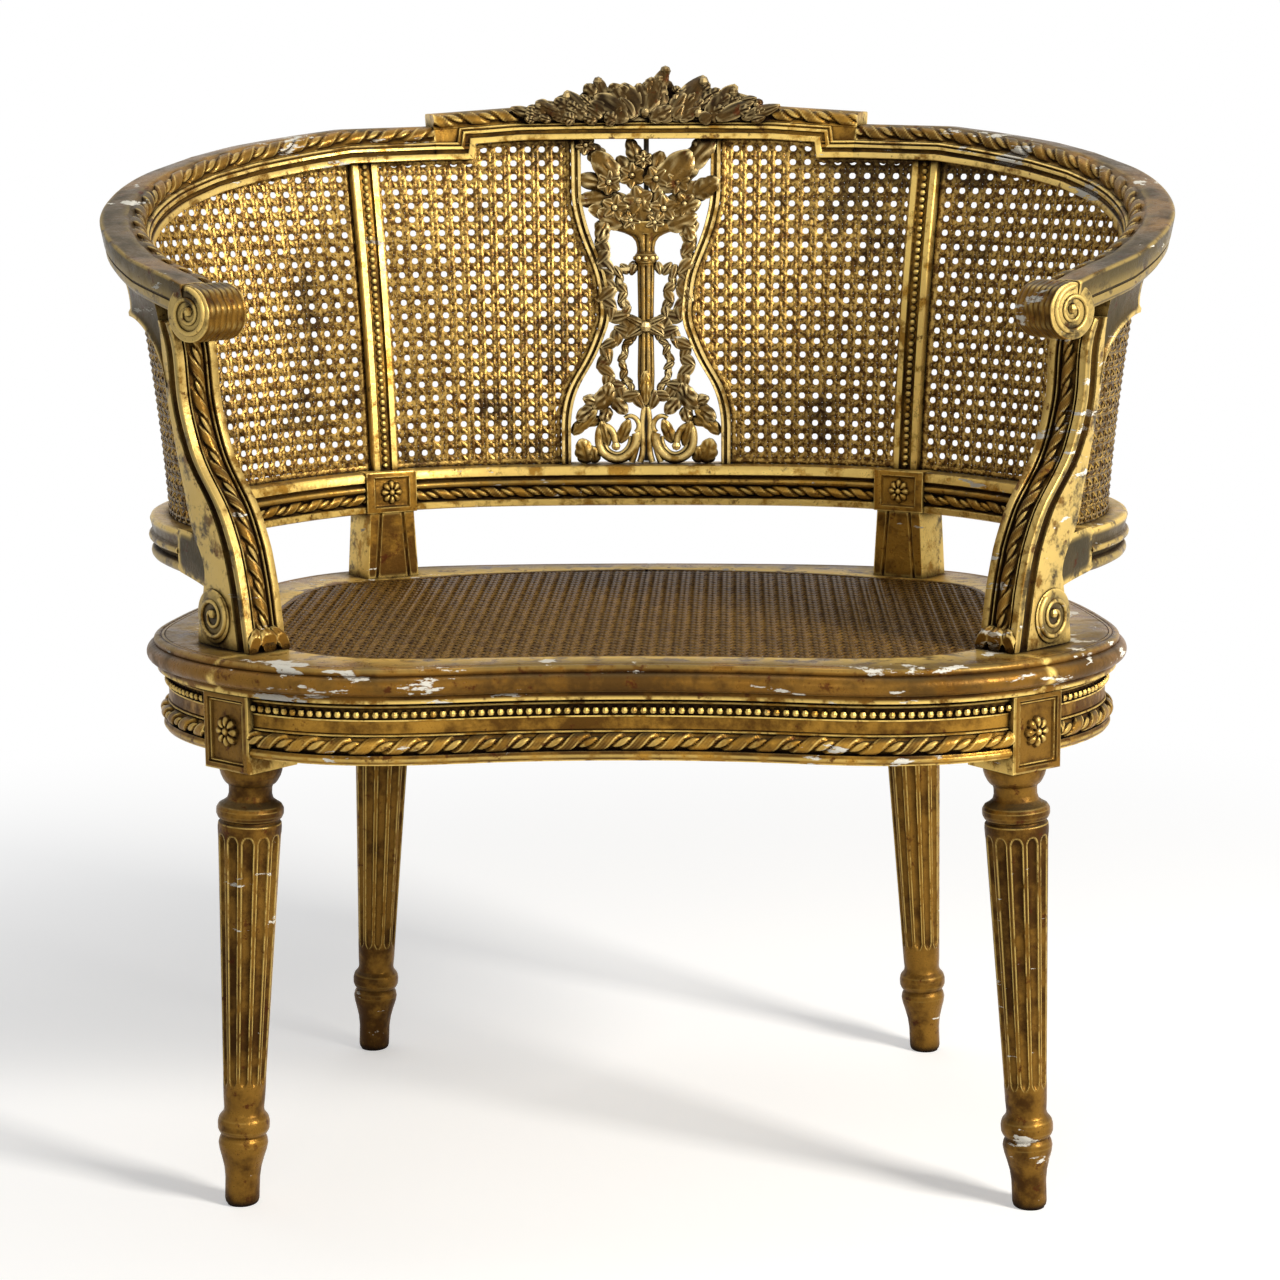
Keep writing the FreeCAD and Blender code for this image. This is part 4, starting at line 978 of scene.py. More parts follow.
@dataclass
class SeatFrame:
    """The seat's moulded rim and the apron below it, in four quarters."""
    rim_step: float = 3.0
    apron_step: float = 1.3
    ledge: float = 16.0
    cane_drop: float = 3.5
    apron_depth: float = 28.0
    pearl_radius: float = 2.9
    pearl_pitch: float = 7.1
    ribbon_pitch: float = 25.5
    ribbon_radius: float = 6.6
    block_half: float = 25.0

    def border(self, places: Array) -> tuple[Array, Array]:
        """Nearest places on the cane's edge, and the unit ways from them out to the rim.

        Args:
            places: lengths along the seat's outline.

        Returns:
            Two arrays of rows.
        """
        point, _ = SEAT.at(places)
        edge = CANE_EDGE.points
        gap = ((point[:, None, :2] - edge[None]) ** 2).sum(axis=2)
        near = edge[gap.argmin(axis=1)]
        near = np.concatenate([near, np.zeros((len(near), 1))], axis=1)
        return near, unit(point - near)

    def rim(self, name: str, first: float, last: float) -> None:
        """One quarter of the rim: bead, groove, torus and fillet round a flat border.

        Args:
            name: the quarter.
            first, last: shares of the seat's outline.
        """
        count = max(8, round((last - first) * SEAT.length / self.rim_step))
        places = np.linspace(first, last, count) * SEAT.length
        point, normal = SEAT.at(places)
        near, outward = self.border(places)
        mitre = np.einsum("ij,ij->i", outward, normal)[:, None]
        moulding = np.vstack(
            [[(8.3, -26.5), (8.3, -20.8), (9.2, -20.2)], arc(9.0, -13.2, 7.5, -70, 72, 16),
             [(10.2, -5.6), (10.6, -4.6)], arc(7.2, -3.4, 3.4, -5, 90, 7),
             [(5.6, -0.1), (4.9, -0.7), (4.2, -0.1), (2.4, 0.0), (1.9, -0.5), (1.4, 0.0)]])
        grid = point[:, None] + outward[:, None] * (moulding[None, :, 0] / mitre)[..., None]
        grid[..., 2] = SEAT_TOP + moulding[None, :, 1]
        inner = np.array([(1.2, 0.0), (0.0, -0.5), (0.0, -self.cane_drop),
                          (-self.ledge, -self.cane_drop), (-self.ledge, -26.5)])
        rest = near[:, None] + outward[:, None] * inner[None, :, 0, None]
        rest[..., 2] = SEAT_TOP + inner[None, :, 1]
        carving = Carving()
        carving.tube(np.concatenate([grid, rest], axis=1))
        carving.finish("rim_" + name, RIM_GILDING, "gilt_wood", (name + "_seat_rim",))

    def apron(self, name: str, first: float, last: float) -> None:
        """One quarter of the apron: fascia, channel of pearls, wound ribbon and bottom fillet.

        Args:
            name: the quarter.
            first, last: shares of the seat's outline.
        """
        gap = (self.block_half - 1.0) / SEAT.length
        count = round((last - first - 2 * gap) * SEAT.length / self.apron_step)
        places = np.linspace(first + gap, last - gap, count) * SEAT.length
        middle = (first + last) / 2 * SEAT.length
        channel = [(0.0, -5.4), (-1.6, -5.9), (-1.9, -9.6), (-1.6, -13.2), (0.5, -13.7), (0.5, -14.8),
                   (0.0, -15.2), (0.0, -24.0), (-0.7, -24.5), (1.0, -25.2), (1.0, -26.3), (-0.8, -27.0)]
        outs, rises = profile(
            places,
            [(-self.apron_depth, 0.0), (0.0, 0.0)], arc(-0.4, -3.6, 1.6, 80, -80, 6), channel,
            twist(places - middle, (0.6, -33.4), self.ribbon_radius, np.linspace(84, -84, 22),
                  self.ribbon_pitch),
            [(-0.5, -40.3), (3.2, -40.6)], arc(2.2, -44.0, 2.6, 60, -60, 6),
            [(2.6, -48.0), (-self.apron_depth, -48.0)])
        carving = Carving()
        carving.tube(swept(places, outs, RIM_BOTTOM + rises))
        carving.finish("apron_" + name, FRAME_GILDING, "gilt_wood", (name + "_apron",))
        run = places[-1] - places[0]
        beads = np.linspace(places[0] + 2, places[-1] - 2, round(run / self.pearl_pitch))
        point, normal = SEAT.at(beads)
        centres = point + normal * 0.6
        centres[:, 2] = RIM_BOTTOM - 9.6
        pearls = Carving()
        pearls.balls(centres, self.pearl_radius)
        pearls.finish("pearls_" + name, FRAME_GILDING, "gilt_wood", ())

    def build(self) -> None:
        """Build the four quarters."""
        for name, (first, last) in QUARTERS.items():
            self.rim(name, first, last)
            self.apron(name, first, last)


@dataclass
class Leg:
    """A square block over a turned and fluted leg that leans outward."""
    name: str
    share: float
    splay: float
    rake: float
    side: Side
    block_half: float = 25.0
    proud: float = 5.0
    flutes: int = 12
    flute_depth: float = 3.2
    flute_low: float = 99.0
    flute_high: float = 300.0
    flute_end: float = 6.0
    flute_share: float = 0.33
    shaft_top: float = 24.6
    rosette: float = 11.0
    level_parts: tuple = ((-6, 90, 90), (90, 118, 22), (118, 284, 34), (284, 304, 18), (304, 354.5, 72))

    def stand(self) -> tuple[Array, float]:
        """Centre of the block in plan, and the angle of its carved face's normal.

        Returns:
            The centre, and the angle in radians.
        """
        point, normal = SEAT.at(np.array([self.share * SEAT.length]))
        centre = point[0] - normal[0] * (self.block_half - self.proud)
        return centre, math.atan2(normal[0, 1], normal[0, 0])

    def outline(self, level: Array) -> Array:
        """Radius by height: toe, bulge, ring, taper, collar, neck and bowl."""
        table = np.array([(-6, 11.0), (0, 11.5), (1.2, 12.8), (4, 13.5), (21, 13.6), (30, 14.6),
                          (38, 16.6), (45, 18.6), (50, 19.4), (54, 18.6), (56.4, 17.0), (57.4, 17.2),
                          (59, 19.0), (62, 20.2), (67, 20.4), (71, 19.4), (73.5, 17.4), (75, 16.2),
                          (78, 15.6), (82, 15.9), (86, 16.2), (305, self.shaft_top), (308.5, 24.3),
                          (310, 22.4), (311.2, 22.4), (312.6, 24.6), (315.6, 25.9), (319.6, 25.9),
                          (322.4, 24.4), (324.4, 21.0), (327, 17.8), (331, 16.6), (336, 16.6),
                          (338.6, 17.4), (339.8, 19.4), (342, 21.0), (346, 23.0), (349.6, 24.0),
                          (352.5, 24.2), (354.5, 24.0)])
        return np.interp(level, table[:, 0], table[:, 1])

    def turning(self) -> Array:
        """The turned leg upright on its axis: radius by height less the flutes' hollows.

        A flute is half an ellipse across, and its ends are rounded off the same way.

        Returns:
            Points by height and by place round the axis.
        """
        level = np.unique(np.concatenate([np.linspace(*part) for part in self.level_parts]))
        turn = np.linspace(0, TURN, self.flutes * 14, endpoint=False)
        radius = np.repeat(self.outline(level)[:, None], len(turn), axis=1)
        across = np.mod(turn * self.flutes / TURN, 1.0)[None] - 0.5
        end = np.maximum(self.flute_low + self.flute_end - level,
                         level - self.flute_high + self.flute_end)
        end = end.clip(0)[:, None] / self.flute_end
        dip = np.sqrt(np.clip(1 - (across / self.flute_share) ** 2 - end ** 2, 0, 1))
        radius = radius - dip * self.flute_depth * radius / self.shaft_top
        return np.stack([radius * np.cos(turn), radius * np.sin(turn),
                         np.repeat(level[:, None], len(turn), axis=1)], axis=-1)

    def placed(self, grid: Array, centre: Array, yaw: float) -> Array:
        """A turned shape leaned outward about the block's foot, with nothing below the floor.

        Args:
            grid: the shape on its axis.
            centre, yaw: place and turn of the block.

        Returns:
            The shape in its place.
        """
        lean = Matrix.Rotation(math.radians(-self.splay), 3, "Y")
        lean = lean @ Matrix.Rotation(math.radians(self.rake), 3, "X")
        lean = lean @ Matrix.Rotation(yaw + math.pi / 2, 3, "Z")
        hinge = np.array([0, 0, BLOCK_BOTTOM])
        moved = (grid - hinge) @ np.array(lean).T + hinge + centre
        moved[..., 2] = np.maximum(moved[..., 2], 0)
        return moved

    def block(self, centre: Array, yaw: float) -> tuple[Array, Array]:
        """The square block: a raised frame with a bead inside it, a sunk panel and a flower.

        Args:
            centre, yaw: place and turn of the block.

        Returns:
            The carved face and the back.
        """
        half, low, high = self.block_half, BLOCK_BOTTOM, RIM_BOTTOM
        tall = (high - low) / 2
        x = np.linspace(-half, half, 71)
        z = np.linspace(-tall, tall, 85)
        across, up = np.meshgrid(x, z)
        edge = np.minimum(half - np.abs(across), tall - np.abs(up))
        depth = np.interp(edge, [0, 1.2, 5.2, 5.8, 6.6, 7.6, 8.2], [-1.2, 0, 0, -1.6, -1.0, -1.2, -3.0])
        depth = np.where(edge > 8.2, -3.0, depth)
        flower = rosette_height(across, up * 0.97, self.rosette + 1.0, 8)
        depth = depth + np.where(edge > 8.2, flower * 5.4, 0)
        face = Matrix.Rotation(yaw + math.pi / 2, 3, "Z")

        def put(points: Array) -> Array:
            """Points turned and moved to the block's place."""
            return points @ np.array(face).T + centre + [0, 0, (low + high) / 2]

        front = np.stack([across, -half - depth, up], axis=-1)
        back = np.stack([across, np.full_like(across, half), up], axis=-1)
        return put(front), put(back)

    def build(self) -> None:
        """Build the leg as one piece."""
        centre, yaw = self.stand()
        carving = Carving()
        carving.tube(self.placed(self.turning(), centre, yaw))
        carving.slab(*self.block(centre, yaw))
        carving.on(self.side).finish("%s_%s" % (self.name, self.side.word), LEG_GILDING, "gilt_wood",
                                     ("%s_%s" % (self.side.word, self.name),))


# The back's rails, posts and arms

@dataclass
class TopRails:
    """The crest rail and the arm rails: one moulding with a wound ribbon along its top."""
    step: float = 1.5
    pitch: float = 26.0
    ribbon: float = 6.8
    drum_radius: float = 22.5
    drum_width: float = 42.0
    drum_turn: float = 12.0

    def section(self, places: Array, bottom: Array, top: Array) -> Array:
        """Rings of the moulding: the lower part follows the bottom, the rest the top.

        Args:
            places: lengths along the plan.
            bottom, top: levels of the rail's two edges.

        Returns:
            Points by place and by profile point.
        """
        low = [(-12.0, 0.3), (-12.0, 14.0)]
        high = [(-12.6, -14.2), (-13.2, -13.6)]
        crown = np.vstack([[(-3.6, -1.7), (-2.6, -0.7), (-1.0, -0.2)], [(6.0, 0.0), (14.5, -0.3)],
                           arc(17.0, -3.4, 3.1, 80, 0, 5),
                           [(20.1, -9.0), (20.1, -17.0), (19.0, -17.6), (19.0, -18.8), (19.8, -19.6)]])
        foot = [(19.8, 4.2), (19.2, 3.0), (18.0, 0.8), (16.0, 0.3)]
        outs, rises = profile(places, low, high,
                              twist(places, (-8.8, -7.4), self.ribbon, np.linspace(232, 62, 22),
                                    self.pitch), crown, foot)
        base = np.tile(bottom[:, None], (1, rises.shape[1]))
        base[:, len(low):-len(foot)] = top[:, None]
        return on_back(places[:, None], base + rises, outs)

    def fascia(self, path: Array) -> Array:
        """Rings of the fascia's fillets and grooves along the rail's inner lower edge.

        The profile is offset square to the path, and mitred where the path has a corner.

        Args:
            path: rows of (run, level) along the lower edge, whose up side is on its left.

        Returns:
            Points by place and by profile point.
        """
        step = unit(np.diff(path, axis=0))
        ahead = np.vstack([step, step[-1:]])
        behind = np.vstack([step[:1], step])
        square = np.stack([-ahead[:, 1] - behind[:, 1], ahead[:, 0] + behind[:, 0]], axis=1)
        mitre = 2 * square / np.maximum((square ** 2).sum(axis=1, keepdims=True), 1.0)
        shape = np.array([(-11.5, 0.0), (-16.6, 0.0), (-17.4, 0.7), (-17.4, 4.6), (-16.8, 5.3),
                          (-15.0, 5.7), (-14.4, 7.0), (-15.0, 8.4), (-16.2, 8.7), (-16.9, 9.3),
                          (-16.9, 11.2), (-16.2, 11.8), (-15.0, 12.1), (-15.0, 12.7), (-15.8, 13.0),
                          (-16.3, 13.8), (-15.8, 14.6), (-14.6, 15.0), (-11.5, 15.0)])
        place = path[:, None] + mitre[:, None] * shape[None, :, 1, None]
        return on_back(place[..., 0], place[..., 1], shape[None, :, 0])

    def crest(self) -> None:
        """The crest rail between its two shoulders."""
        places = np.linspace(-CREST_HALF, CREST_HALF, round(2 * CREST_HALF / self.step))
        carving = Carving()
        carving.tube(self.section(places, rail_bottom(places), crest_top(places)))
        corner = SHOULDER - SHOULDER_SLOPE / 2
        flat = np.linspace(-corner, corner, 60)
        wing = np.linspace(corner + SHOULDER_SLOPE, CREST_HALF, 12)
        run = np.concatenate([-wing[::-1], flat, wing])
        carving.tube(self.fascia(np.stack([run, rail_bottom(run)], axis=1)))
        carving.finish("crest_moulding", FRAME_GILDING, "gilt_wood", ("crest_rail",))

    def drum(self) -> Carving:
        """The rolled end of an arm: reeded round its turn, with a coiled rim on each face.

        The coil is a round bead that follows a spiral whose radius shrinks evenly.

        Returns:
            The roll on the right.
        """
        run = RAIL_END_SHARE * HALF_LENGTH
        level = float(side_top(run)) - self.drum_radius
        point, normal = BACK.at(np.array([run + HALF_LENGTH]))
        turn = np.array(Matrix.Rotation(math.radians(-self.drum_turn), 3, "Z"))
        axis = turn @ normal[0]
        ahead = np.cross(UP, axis)
        centre = point[0] + normal[0] * float(flare(level)) + [0, 0, level]
        angle = np.linspace(0, TURN, 72, endpoint=False)
        across = np.linspace(-1, 1, 61)
        half = self.drum_width / 2
        reed = 0.62 * np.abs(np.sin(across * math.pi * 3.5)) ** 0.6
        shoulder = np.sqrt(np.clip(1 - ((np.abs(across) - 0.9).clip(0) / 0.1) ** 2, 0, 1))
        radius = (self.drum_radius - 1.9 + 1.9 * reed) * (0.93 + 0.07 * shoulder)
        waves = 1 + 0.025 * np.sin(angle * 9)[None] * (1 - across[:, None] ** 4)
        way = ahead * np.cos(angle)[:, None] + UP * np.sin(angle)[:, None]
        grid = centre + axis * (across * half)[:, None, None] \
            + way[None] * (radius[:, None] * waves)[..., None]
        carving = Carving()
        carving.tube(grid)
        for face in (-1, 1):
            wind = np.linspace(0, 2.1 * TURN, 130)
            reach = (self.drum_radius - 4.0) * (1 - wind / wind[-1] * 0.86)
            start = wind * face + math.pi / 2
            way = ahead * np.cos(start)[:, None] + UP * np.sin(start)[:, None]
            path = centre + axis * (face * half) + way * reach[:, None]
            carving.bead(path, 2.3 * (1 - 0.45 * wind / wind[-1]), axis)
            carving.balls(path[-1:], 4.2)
        return carving

    def arm(self, side: Side) -> None:
        """An arm rail with its rolled end.

        Args:
            side: which arm.
        """
        first, last = CREST_HALF, RAIL_END_SHARE * HALF_LENGTH
        places = np.linspace(first, last, round((last - first) / self.step))
        carving = Carving()
        carving.tube(self.section(places, rail_bottom(places), side_top(places)))
        run = np.linspace(first, last, 110)
        carving.tube(self.fascia(np.stack([run, rail_bottom(run)], axis=1)))
        carving.copy_in(self.drum())
        carving.on(side).finish("arm_moulding_" + side.word, ARM_GILDING, "gilt_wood",
                                (side.word + "_arm_rail",))

    def build(self) -> None:
        """Build the crest and both arms."""
        self.crest()
        for side in Side:
            self.arm(side)


@dataclass
class LowRails:
    """The lower rail of the back in three runs between posts and arms."""
    step: float = 1.5
    pitch: float = 24.0
    ribbon: float = 5.6
    post_block: float = 49.0

    def section(self, places: Array) -> Array:
        """Rings of the moulding over the rail's underside, by place along the plan."""
        outs, rises = profile(
            places, [(-17.0, 0.0), (-18.6, 1.0), (-18.8, 5.6), (-18.0, 6.4), (-16.4, 7.0)],
            twist(places, (-13.6, 12.6), self.ribbon, np.linspace(262, 98, 20), self.pitch),
            [(-16.4, 18.2)], arc(-15.8, 21.2, 2.9, 240, 112, 8),
            [(-15.6, 25.2), (-17.2, 26.6), (-18.8, 27.4), (-18.8, 32.8), (-17.6, 34.8), (-15.0, 35.5)],
            [(13.0, 35.5), (16.0, 34.6), (17.4, 32.0), (16.4, 27.0), (15.8, 22.4)],
            arc(16.0, 18.6, 3.0, 80, -80, 7), [(14.2, 14.4), (12.8, 11.4)],
            arc(12.6, 6.0, 4.6, 70, -70, 7), [(12.0, 0.8), (11.0, 0.0)])
        return on_back(places[:, None], low_base(places)[:, None] + rises, outs)

    def build(self) -> None:
        """Build the three runs."""
        inner = POST_RUN - self.post_block / 2
        places = np.linspace(-inner, inner, round(2 * inner / self.step))
        centre = Carving()
        centre.tube(self.section(places))
        centre.finish("low_rail_centre", FRAME_GILDING, "gilt_wood", ("centre_low_rail",))
        first, last = POST_RUN + self.post_block / 2, HALF_LENGTH - EAR
        for side in Side:
            places = np.linspace(first, last, round((last - first) / self.step))
            carving = Carving()
            carving.tube(self.section(places))
            carving.on(side).finish("low_rail_" + side.word, FRAME_GILDING, "gilt_wood",
                                    (side.word + "_side_low_rail",))


@dataclass
class Post:
    """A rear post: tapered foot, square block with a flower, and a beaded stile."""
    side: Side
    foot_width: float = 51.0
    neck_width: float = 44.0
    depth: float = 40.0
    block_width: float = 49.0
    proud: float = 2.0
    stile_width: float = 23.0
    stile_depth: float = 20.0
    bead_radius: float = 2.7
    bead_pitch: float = 6.2
    rosette: float = 10.5

    def foot(self) -> tuple[Array, Array]:
        """The foot between seat and block, with two lines cut into its face that taper.

        Returns:
            The face and the back.
        """
        share, level = np.meshgrid(np.linspace(-1, 1, 57), np.linspace(SEAT_TOP, LOW_BASE + 1, 24))
        rise = (level - SEAT_TOP) / (LOW_BASE - SEAT_TOP)
        half = (self.foot_width * (1 - rise) + self.neck_width * rise) / 2
        line = np.minimum(np.abs(share - (0.62 - 0.14 * rise)), np.abs(share + 0.62 - 0.14 * rise))
        cut = 1.6 * np.clip(1 - line / 0.07, 0, 1)
        face = -self.depth / 2 + cut + 1.2 * (np.abs(share) > 0.97)
        across = POST_RUN + share * half
        return on_back(across, level, face), on_back(across, level, self.depth / 2)

    def block(self) -> tuple[Array, Array]:
        """The block, with a raised frame round a sunk panel and its flower.

        Returns:
            The face and the back.
        """
        half, tall = self.block_width / 2, (LOW_TOP - LOW_BASE) / 2
        across, up = np.meshgrid(np.linspace(-half, half, 67), np.linspace(-tall, tall, 49))
        edge = np.minimum(half - 3.0 - np.abs(across), tall - np.abs(up))
        sunk = np.interp(edge, [-3, 0, 1.0, 4.6, 5.4, 6.2], [-1.0, -0.2, 0, 0, -1.8, -2.6])
        flower = rosette_height(across, up, self.rosette, 8)
        sunk = sunk + np.where(edge > 5.4, flower * 4.0, 0)
        level = (LOW_TOP + LOW_BASE) / 2 + up
        front = on_back(POST_RUN + across, level, -self.depth / 2 - self.proud - sunk)
        return front, on_back(POST_RUN + across, level, self.depth / 2)

    def stile(self) -> Carving:
        """The stile: two fillets with a channel between them, and its string of beads.

        Returns:
            The stile on the right.
        """
        half, deep = self.stile_width / 2, self.stile_depth / 2
        outline = np.array([(-half, deep), (-half, 1 - deep), (1 - half, -deep), (-5.9, -deep),
                            (-5.2, 1.8 - deep), (-4.4, 2.6 - deep), (4.4, 2.6 - deep),
                            (5.2, 1.8 - deep), (5.9, -deep), (half - 1, -deep), (half, 1 - deep),
                            (half, deep)])
        end = float(rail_bottom(POST_RUN)) + 0.5
        level = np.linspace(LOW_TOP - 0.5, end, 60)
        carving = Carving()
        carving.tube(on_back(POST_RUN + outline[None, :, 0], level[:, None], outline[None, :, 1]))
        beads = np.linspace(LOW_TOP + 4, end - 4, round((end - LOW_TOP) / self.bead_pitch))
        carving.balls(on_back(POST_RUN, beads, 1.9 - deep), self.bead_radius)
        return carving

    def build(self) -> None:
        """Build the post as one piece."""
        carving = Carving()
        carving.slab(*self.foot())
        carving.slab(*self.block())
        carving.copy_in(self.stile())
        carving.on(self.side).finish("post_" + self.side.word, FRAME_GILDING, "gilt_wood",
                                     (self.side.word + "_back_post",))


@dataclass
class ArmSupport:
    """The curved upright that carries an arm, with a ribbon down its front and a low scroll."""
    side: Side
    half: float = 18.0
    pitch: float = 27.0
    ribbon: float = 6.6
    scroll_radius: float = 21.0
    scroll_run: float = 47.0
    scroll_level: float = 464.0
    front_line: Rows = ((440.5, 2.5), (452, 4.5), (470, 7.5), (485, 10), (500, 13.6), (517, 18.5),
                        (532, 24), (547, 31), (560, 40), (574, 51), (588, 59.5), (604, 65), (627, 69),
                        (650, 67.6), (668, 66), (676, 66.5), (690, 71))
    back_line: Rows = ((440.5, 72), (452, 71), (470, 66), (485, 62), (500, 63), (517, 70), (532, 76),
                       (547, 80), (560, 82), (574, 85), (588, 87), (604, 89), (627, 91), (650, 90.6),
                       (671, 88), (690, 87))

    def lines(self, count: int) -> tuple[Array, Array]:
        """Front and back edges at paired heights.

        Args:
            count: how many heights.

        Returns:
            Rows of (run, level) for the front and for the back.
        """
        front = spline(np.array([(run, level) for level, run in self.front_line]), False, 30)
        back = spline(np.array([(run, level) for level, run in self.back_line]), False, 30)
        level = np.linspace(self.front_line[0][0], SUPPORT_TOP, count)
        fore = np.stack([np.interp(level, front[:, 1], front[:, 0]), level], axis=1)
        aft = np.stack([np.interp(level, back[:, 1], back[:, 0]), level], axis=1)
        return fore, aft

    def shoulder(self) -> Carving:
        """The ear behind the support that takes the lower rail's end, and its curled underside.

        The ear is a plate between two edges: level above, and below a quarter round that
        runs down into the scroll.

        Returns:
            The ear on the right.
        """
        turn = np.linspace(0, 1, 14)
        upper = np.stack([60 + (EAR - 60) * turn, 526.5 - 5 * (1 - turn) ** 2], axis=1)
        under = np.stack([50 + (EAR - 50) * turn, 478 + 14 * turn ** 0.5], axis=1)
        share = np.linspace(0, 1, 9)[None, :, None]
        face = upper[:, None] * (1 - share) + under[:, None] * share
        swell = 1.4 * np.sin(math.pi * np.linspace(0, 1, 9)) ** 0.5
        sides = [on_back(HALF_LENGTH - face[..., 0], face[..., 1], sign * (self.half - 1.6 + swell))
                 for sign in (-1, 1)]
        carving = Carving()
        carving.slab(*sides)
        return carving

    def bracket(self) -> Carving:
        """The hollowed bracket on the outer side, from the support up under the arm rail.

        Its lower edge is a quarter of an ellipse from the support's back to the rail.

        Returns:
            The bracket on the right.
        """
        turn = np.linspace(0, math.pi / 2, 22)
        run = 136.0 - 48.0 * np.sin(turn)
        low = SUPPORT_TOP - 52.0 * (1 - np.cos(turn))
        share = np.linspace(0, 1, 12)
        top = rail_bottom(HALF_LENGTH - run) + 6.0
        level = low[:, None] + (top - low)[:, None] * share[None]
        hollow = 17.5 - 1.8 * np.sin(math.pi * share) + 1.6 * (share < 0.14)
        outer = on_back(HALF_LENGTH - run[:, None], level, hollow[None] - 0.6 * (share[None] < 0.05))
        inner = on_back(HALF_LENGTH - run[:, None], level, 3.0)
        carving = Carving()
        carving.slab(outer, inner)
        return carving

    def leaf_foot(self) -> Carving:
        """Three small leaves that spring from the front of the foot.

        Returns:
            The leaves.
        """
        carving = Carving()
        for across, reach, wide in ((0.0, 15.0, 15.0), (-11.0, 11.0, 11.0), (11.0, 11.0, 11.0)):
            base = (HALF_LENGTH - 8.0, 458.0, across * 0.6)
            tip = (HALF_LENGTH - 4.0 + reach, 442.5, across * 1.5)
            carving.slab(*leaf(base, tip, wide, cup=3.0, curl=-2.0, thick=4.0, face=(1.0, 0.35, 0.0)))
        return carving

    def body(self) -> Array:
        """The plate: ribbon and fillets in front, two sides, and a plain back.

        Returns:
            Its rings, points by height and by place round the plate.
        """
        fore, aft = self.lines(230)
        places = runs(fore)
        slope = unit(np.gradient(fore, axis=0))
        inward = np.stack([slope[:, 1], -slope[:, 0]], axis=1)
        half = self.half
        edge = np.array([(-half, 3.4), (-half, 1.0), (0.6 - half, 0.2), (1.4 - half, 0.0), (-11.8, 0.0),
                         (-11.2, 0.6), (-10.8, 3.2), (-9.8, 3.6), (-9.2, 1.4), (-8.6, 1.0), (-7.9, 1.6),
                         (-7.3, 4.2)])
        outs, deeps = profile(places, edge,
                              twist(places, (0.0, 5.4), self.ribbon, np.linspace(208, 332, 20),
                                    self.pitch), edge[::-1] * [-1, 1])
        front = fore[:, None] + inward[:, None] * deeps[..., None]
        wide = np.linalg.norm(aft - fore, axis=1)[:, None]
        steps = np.array([5.4, 5.8, 6.4, 13.0, 14.0, 14.6])[None] / np.maximum(wide, 19.0)
        cut = np.array([0.0, 3.2, 4.4, 4.4, 3.2, 0.0])
        shares = np.concatenate([steps, np.full((len(fore), 1), 0.9), np.full((len(fore), 1), 1.0)],
                                axis=1)
        sink = np.concatenate([cut, [0.0, 0.8]])
        outer = fore[:, None] + (aft - fore)[:, None] * shares[..., None]
        outer_out = np.broadcast_to(half - sink, shares.shape)
        plan = np.concatenate([front, outer, outer[:, ::-1]], axis=1)
        out = np.concatenate([outs, outer_out, -outer_out[:, ::-1]], axis=1)
        return on_back(HALF_LENGTH - plan[..., 0], plan[..., 1], out)

    def scrolls(self) -> Carving:
        """A disc on each side face of the foot, with a bead wound into a spiral.

        Returns:
            Both discs.
        """
        carving = Carving()
        for face in (-1, 1):
            turn = np.linspace(0, TURN, 48, endpoint=False)
            rings = np.array([(1.0, -3.0), (1.0, 1.2), (0.93, 2.0), (0.2, 2.0)])
            run = self.scroll_run + np.outer(rings[:, 0], np.cos(turn)) * self.scroll_radius
            level = self.scroll_level + np.outer(rings[:, 0], np.sin(turn)) * self.scroll_radius
            carving.tube(on_back(HALF_LENGTH - run, level, face * (self.half + rings[:, 1:2])))
            wind = np.linspace(0, 2.0 * TURN, 120)
            reach = (self.scroll_radius - 2.4) * (1 - wind / wind[-1] * 0.84)
            run = self.scroll_run + np.cos(wind + 2.2) * reach
            level = self.scroll_level + np.sin(wind + 2.2) * reach
            path = on_back(HALF_LENGTH - run, level, face * (self.half + 2.0))
            _, normal = BACK.at(np.array([2 * HALF_LENGTH - self.scroll_run]))
            carving.bead(path, 2.2 * (1 - 0.4 * wind / wind[-1]), normal[0])
            carving.balls(path[-1:], 4.0)
        return carving

    def build(self) -> None:
        """Build the support as one piece."""
        carving = Carving()
        carving.tube(self.body())
        for part in (self.scrolls(), self.shoulder(), self.bracket(), self.leaf_foot()):
            carving.copy_in(part)
        carving.on(self.side).finish("arm_support_" + self.side.word, ARM_GILDING, "gilt_wood",
                                     (self.side.word + "_arm_support",))


# Carved splat and crest

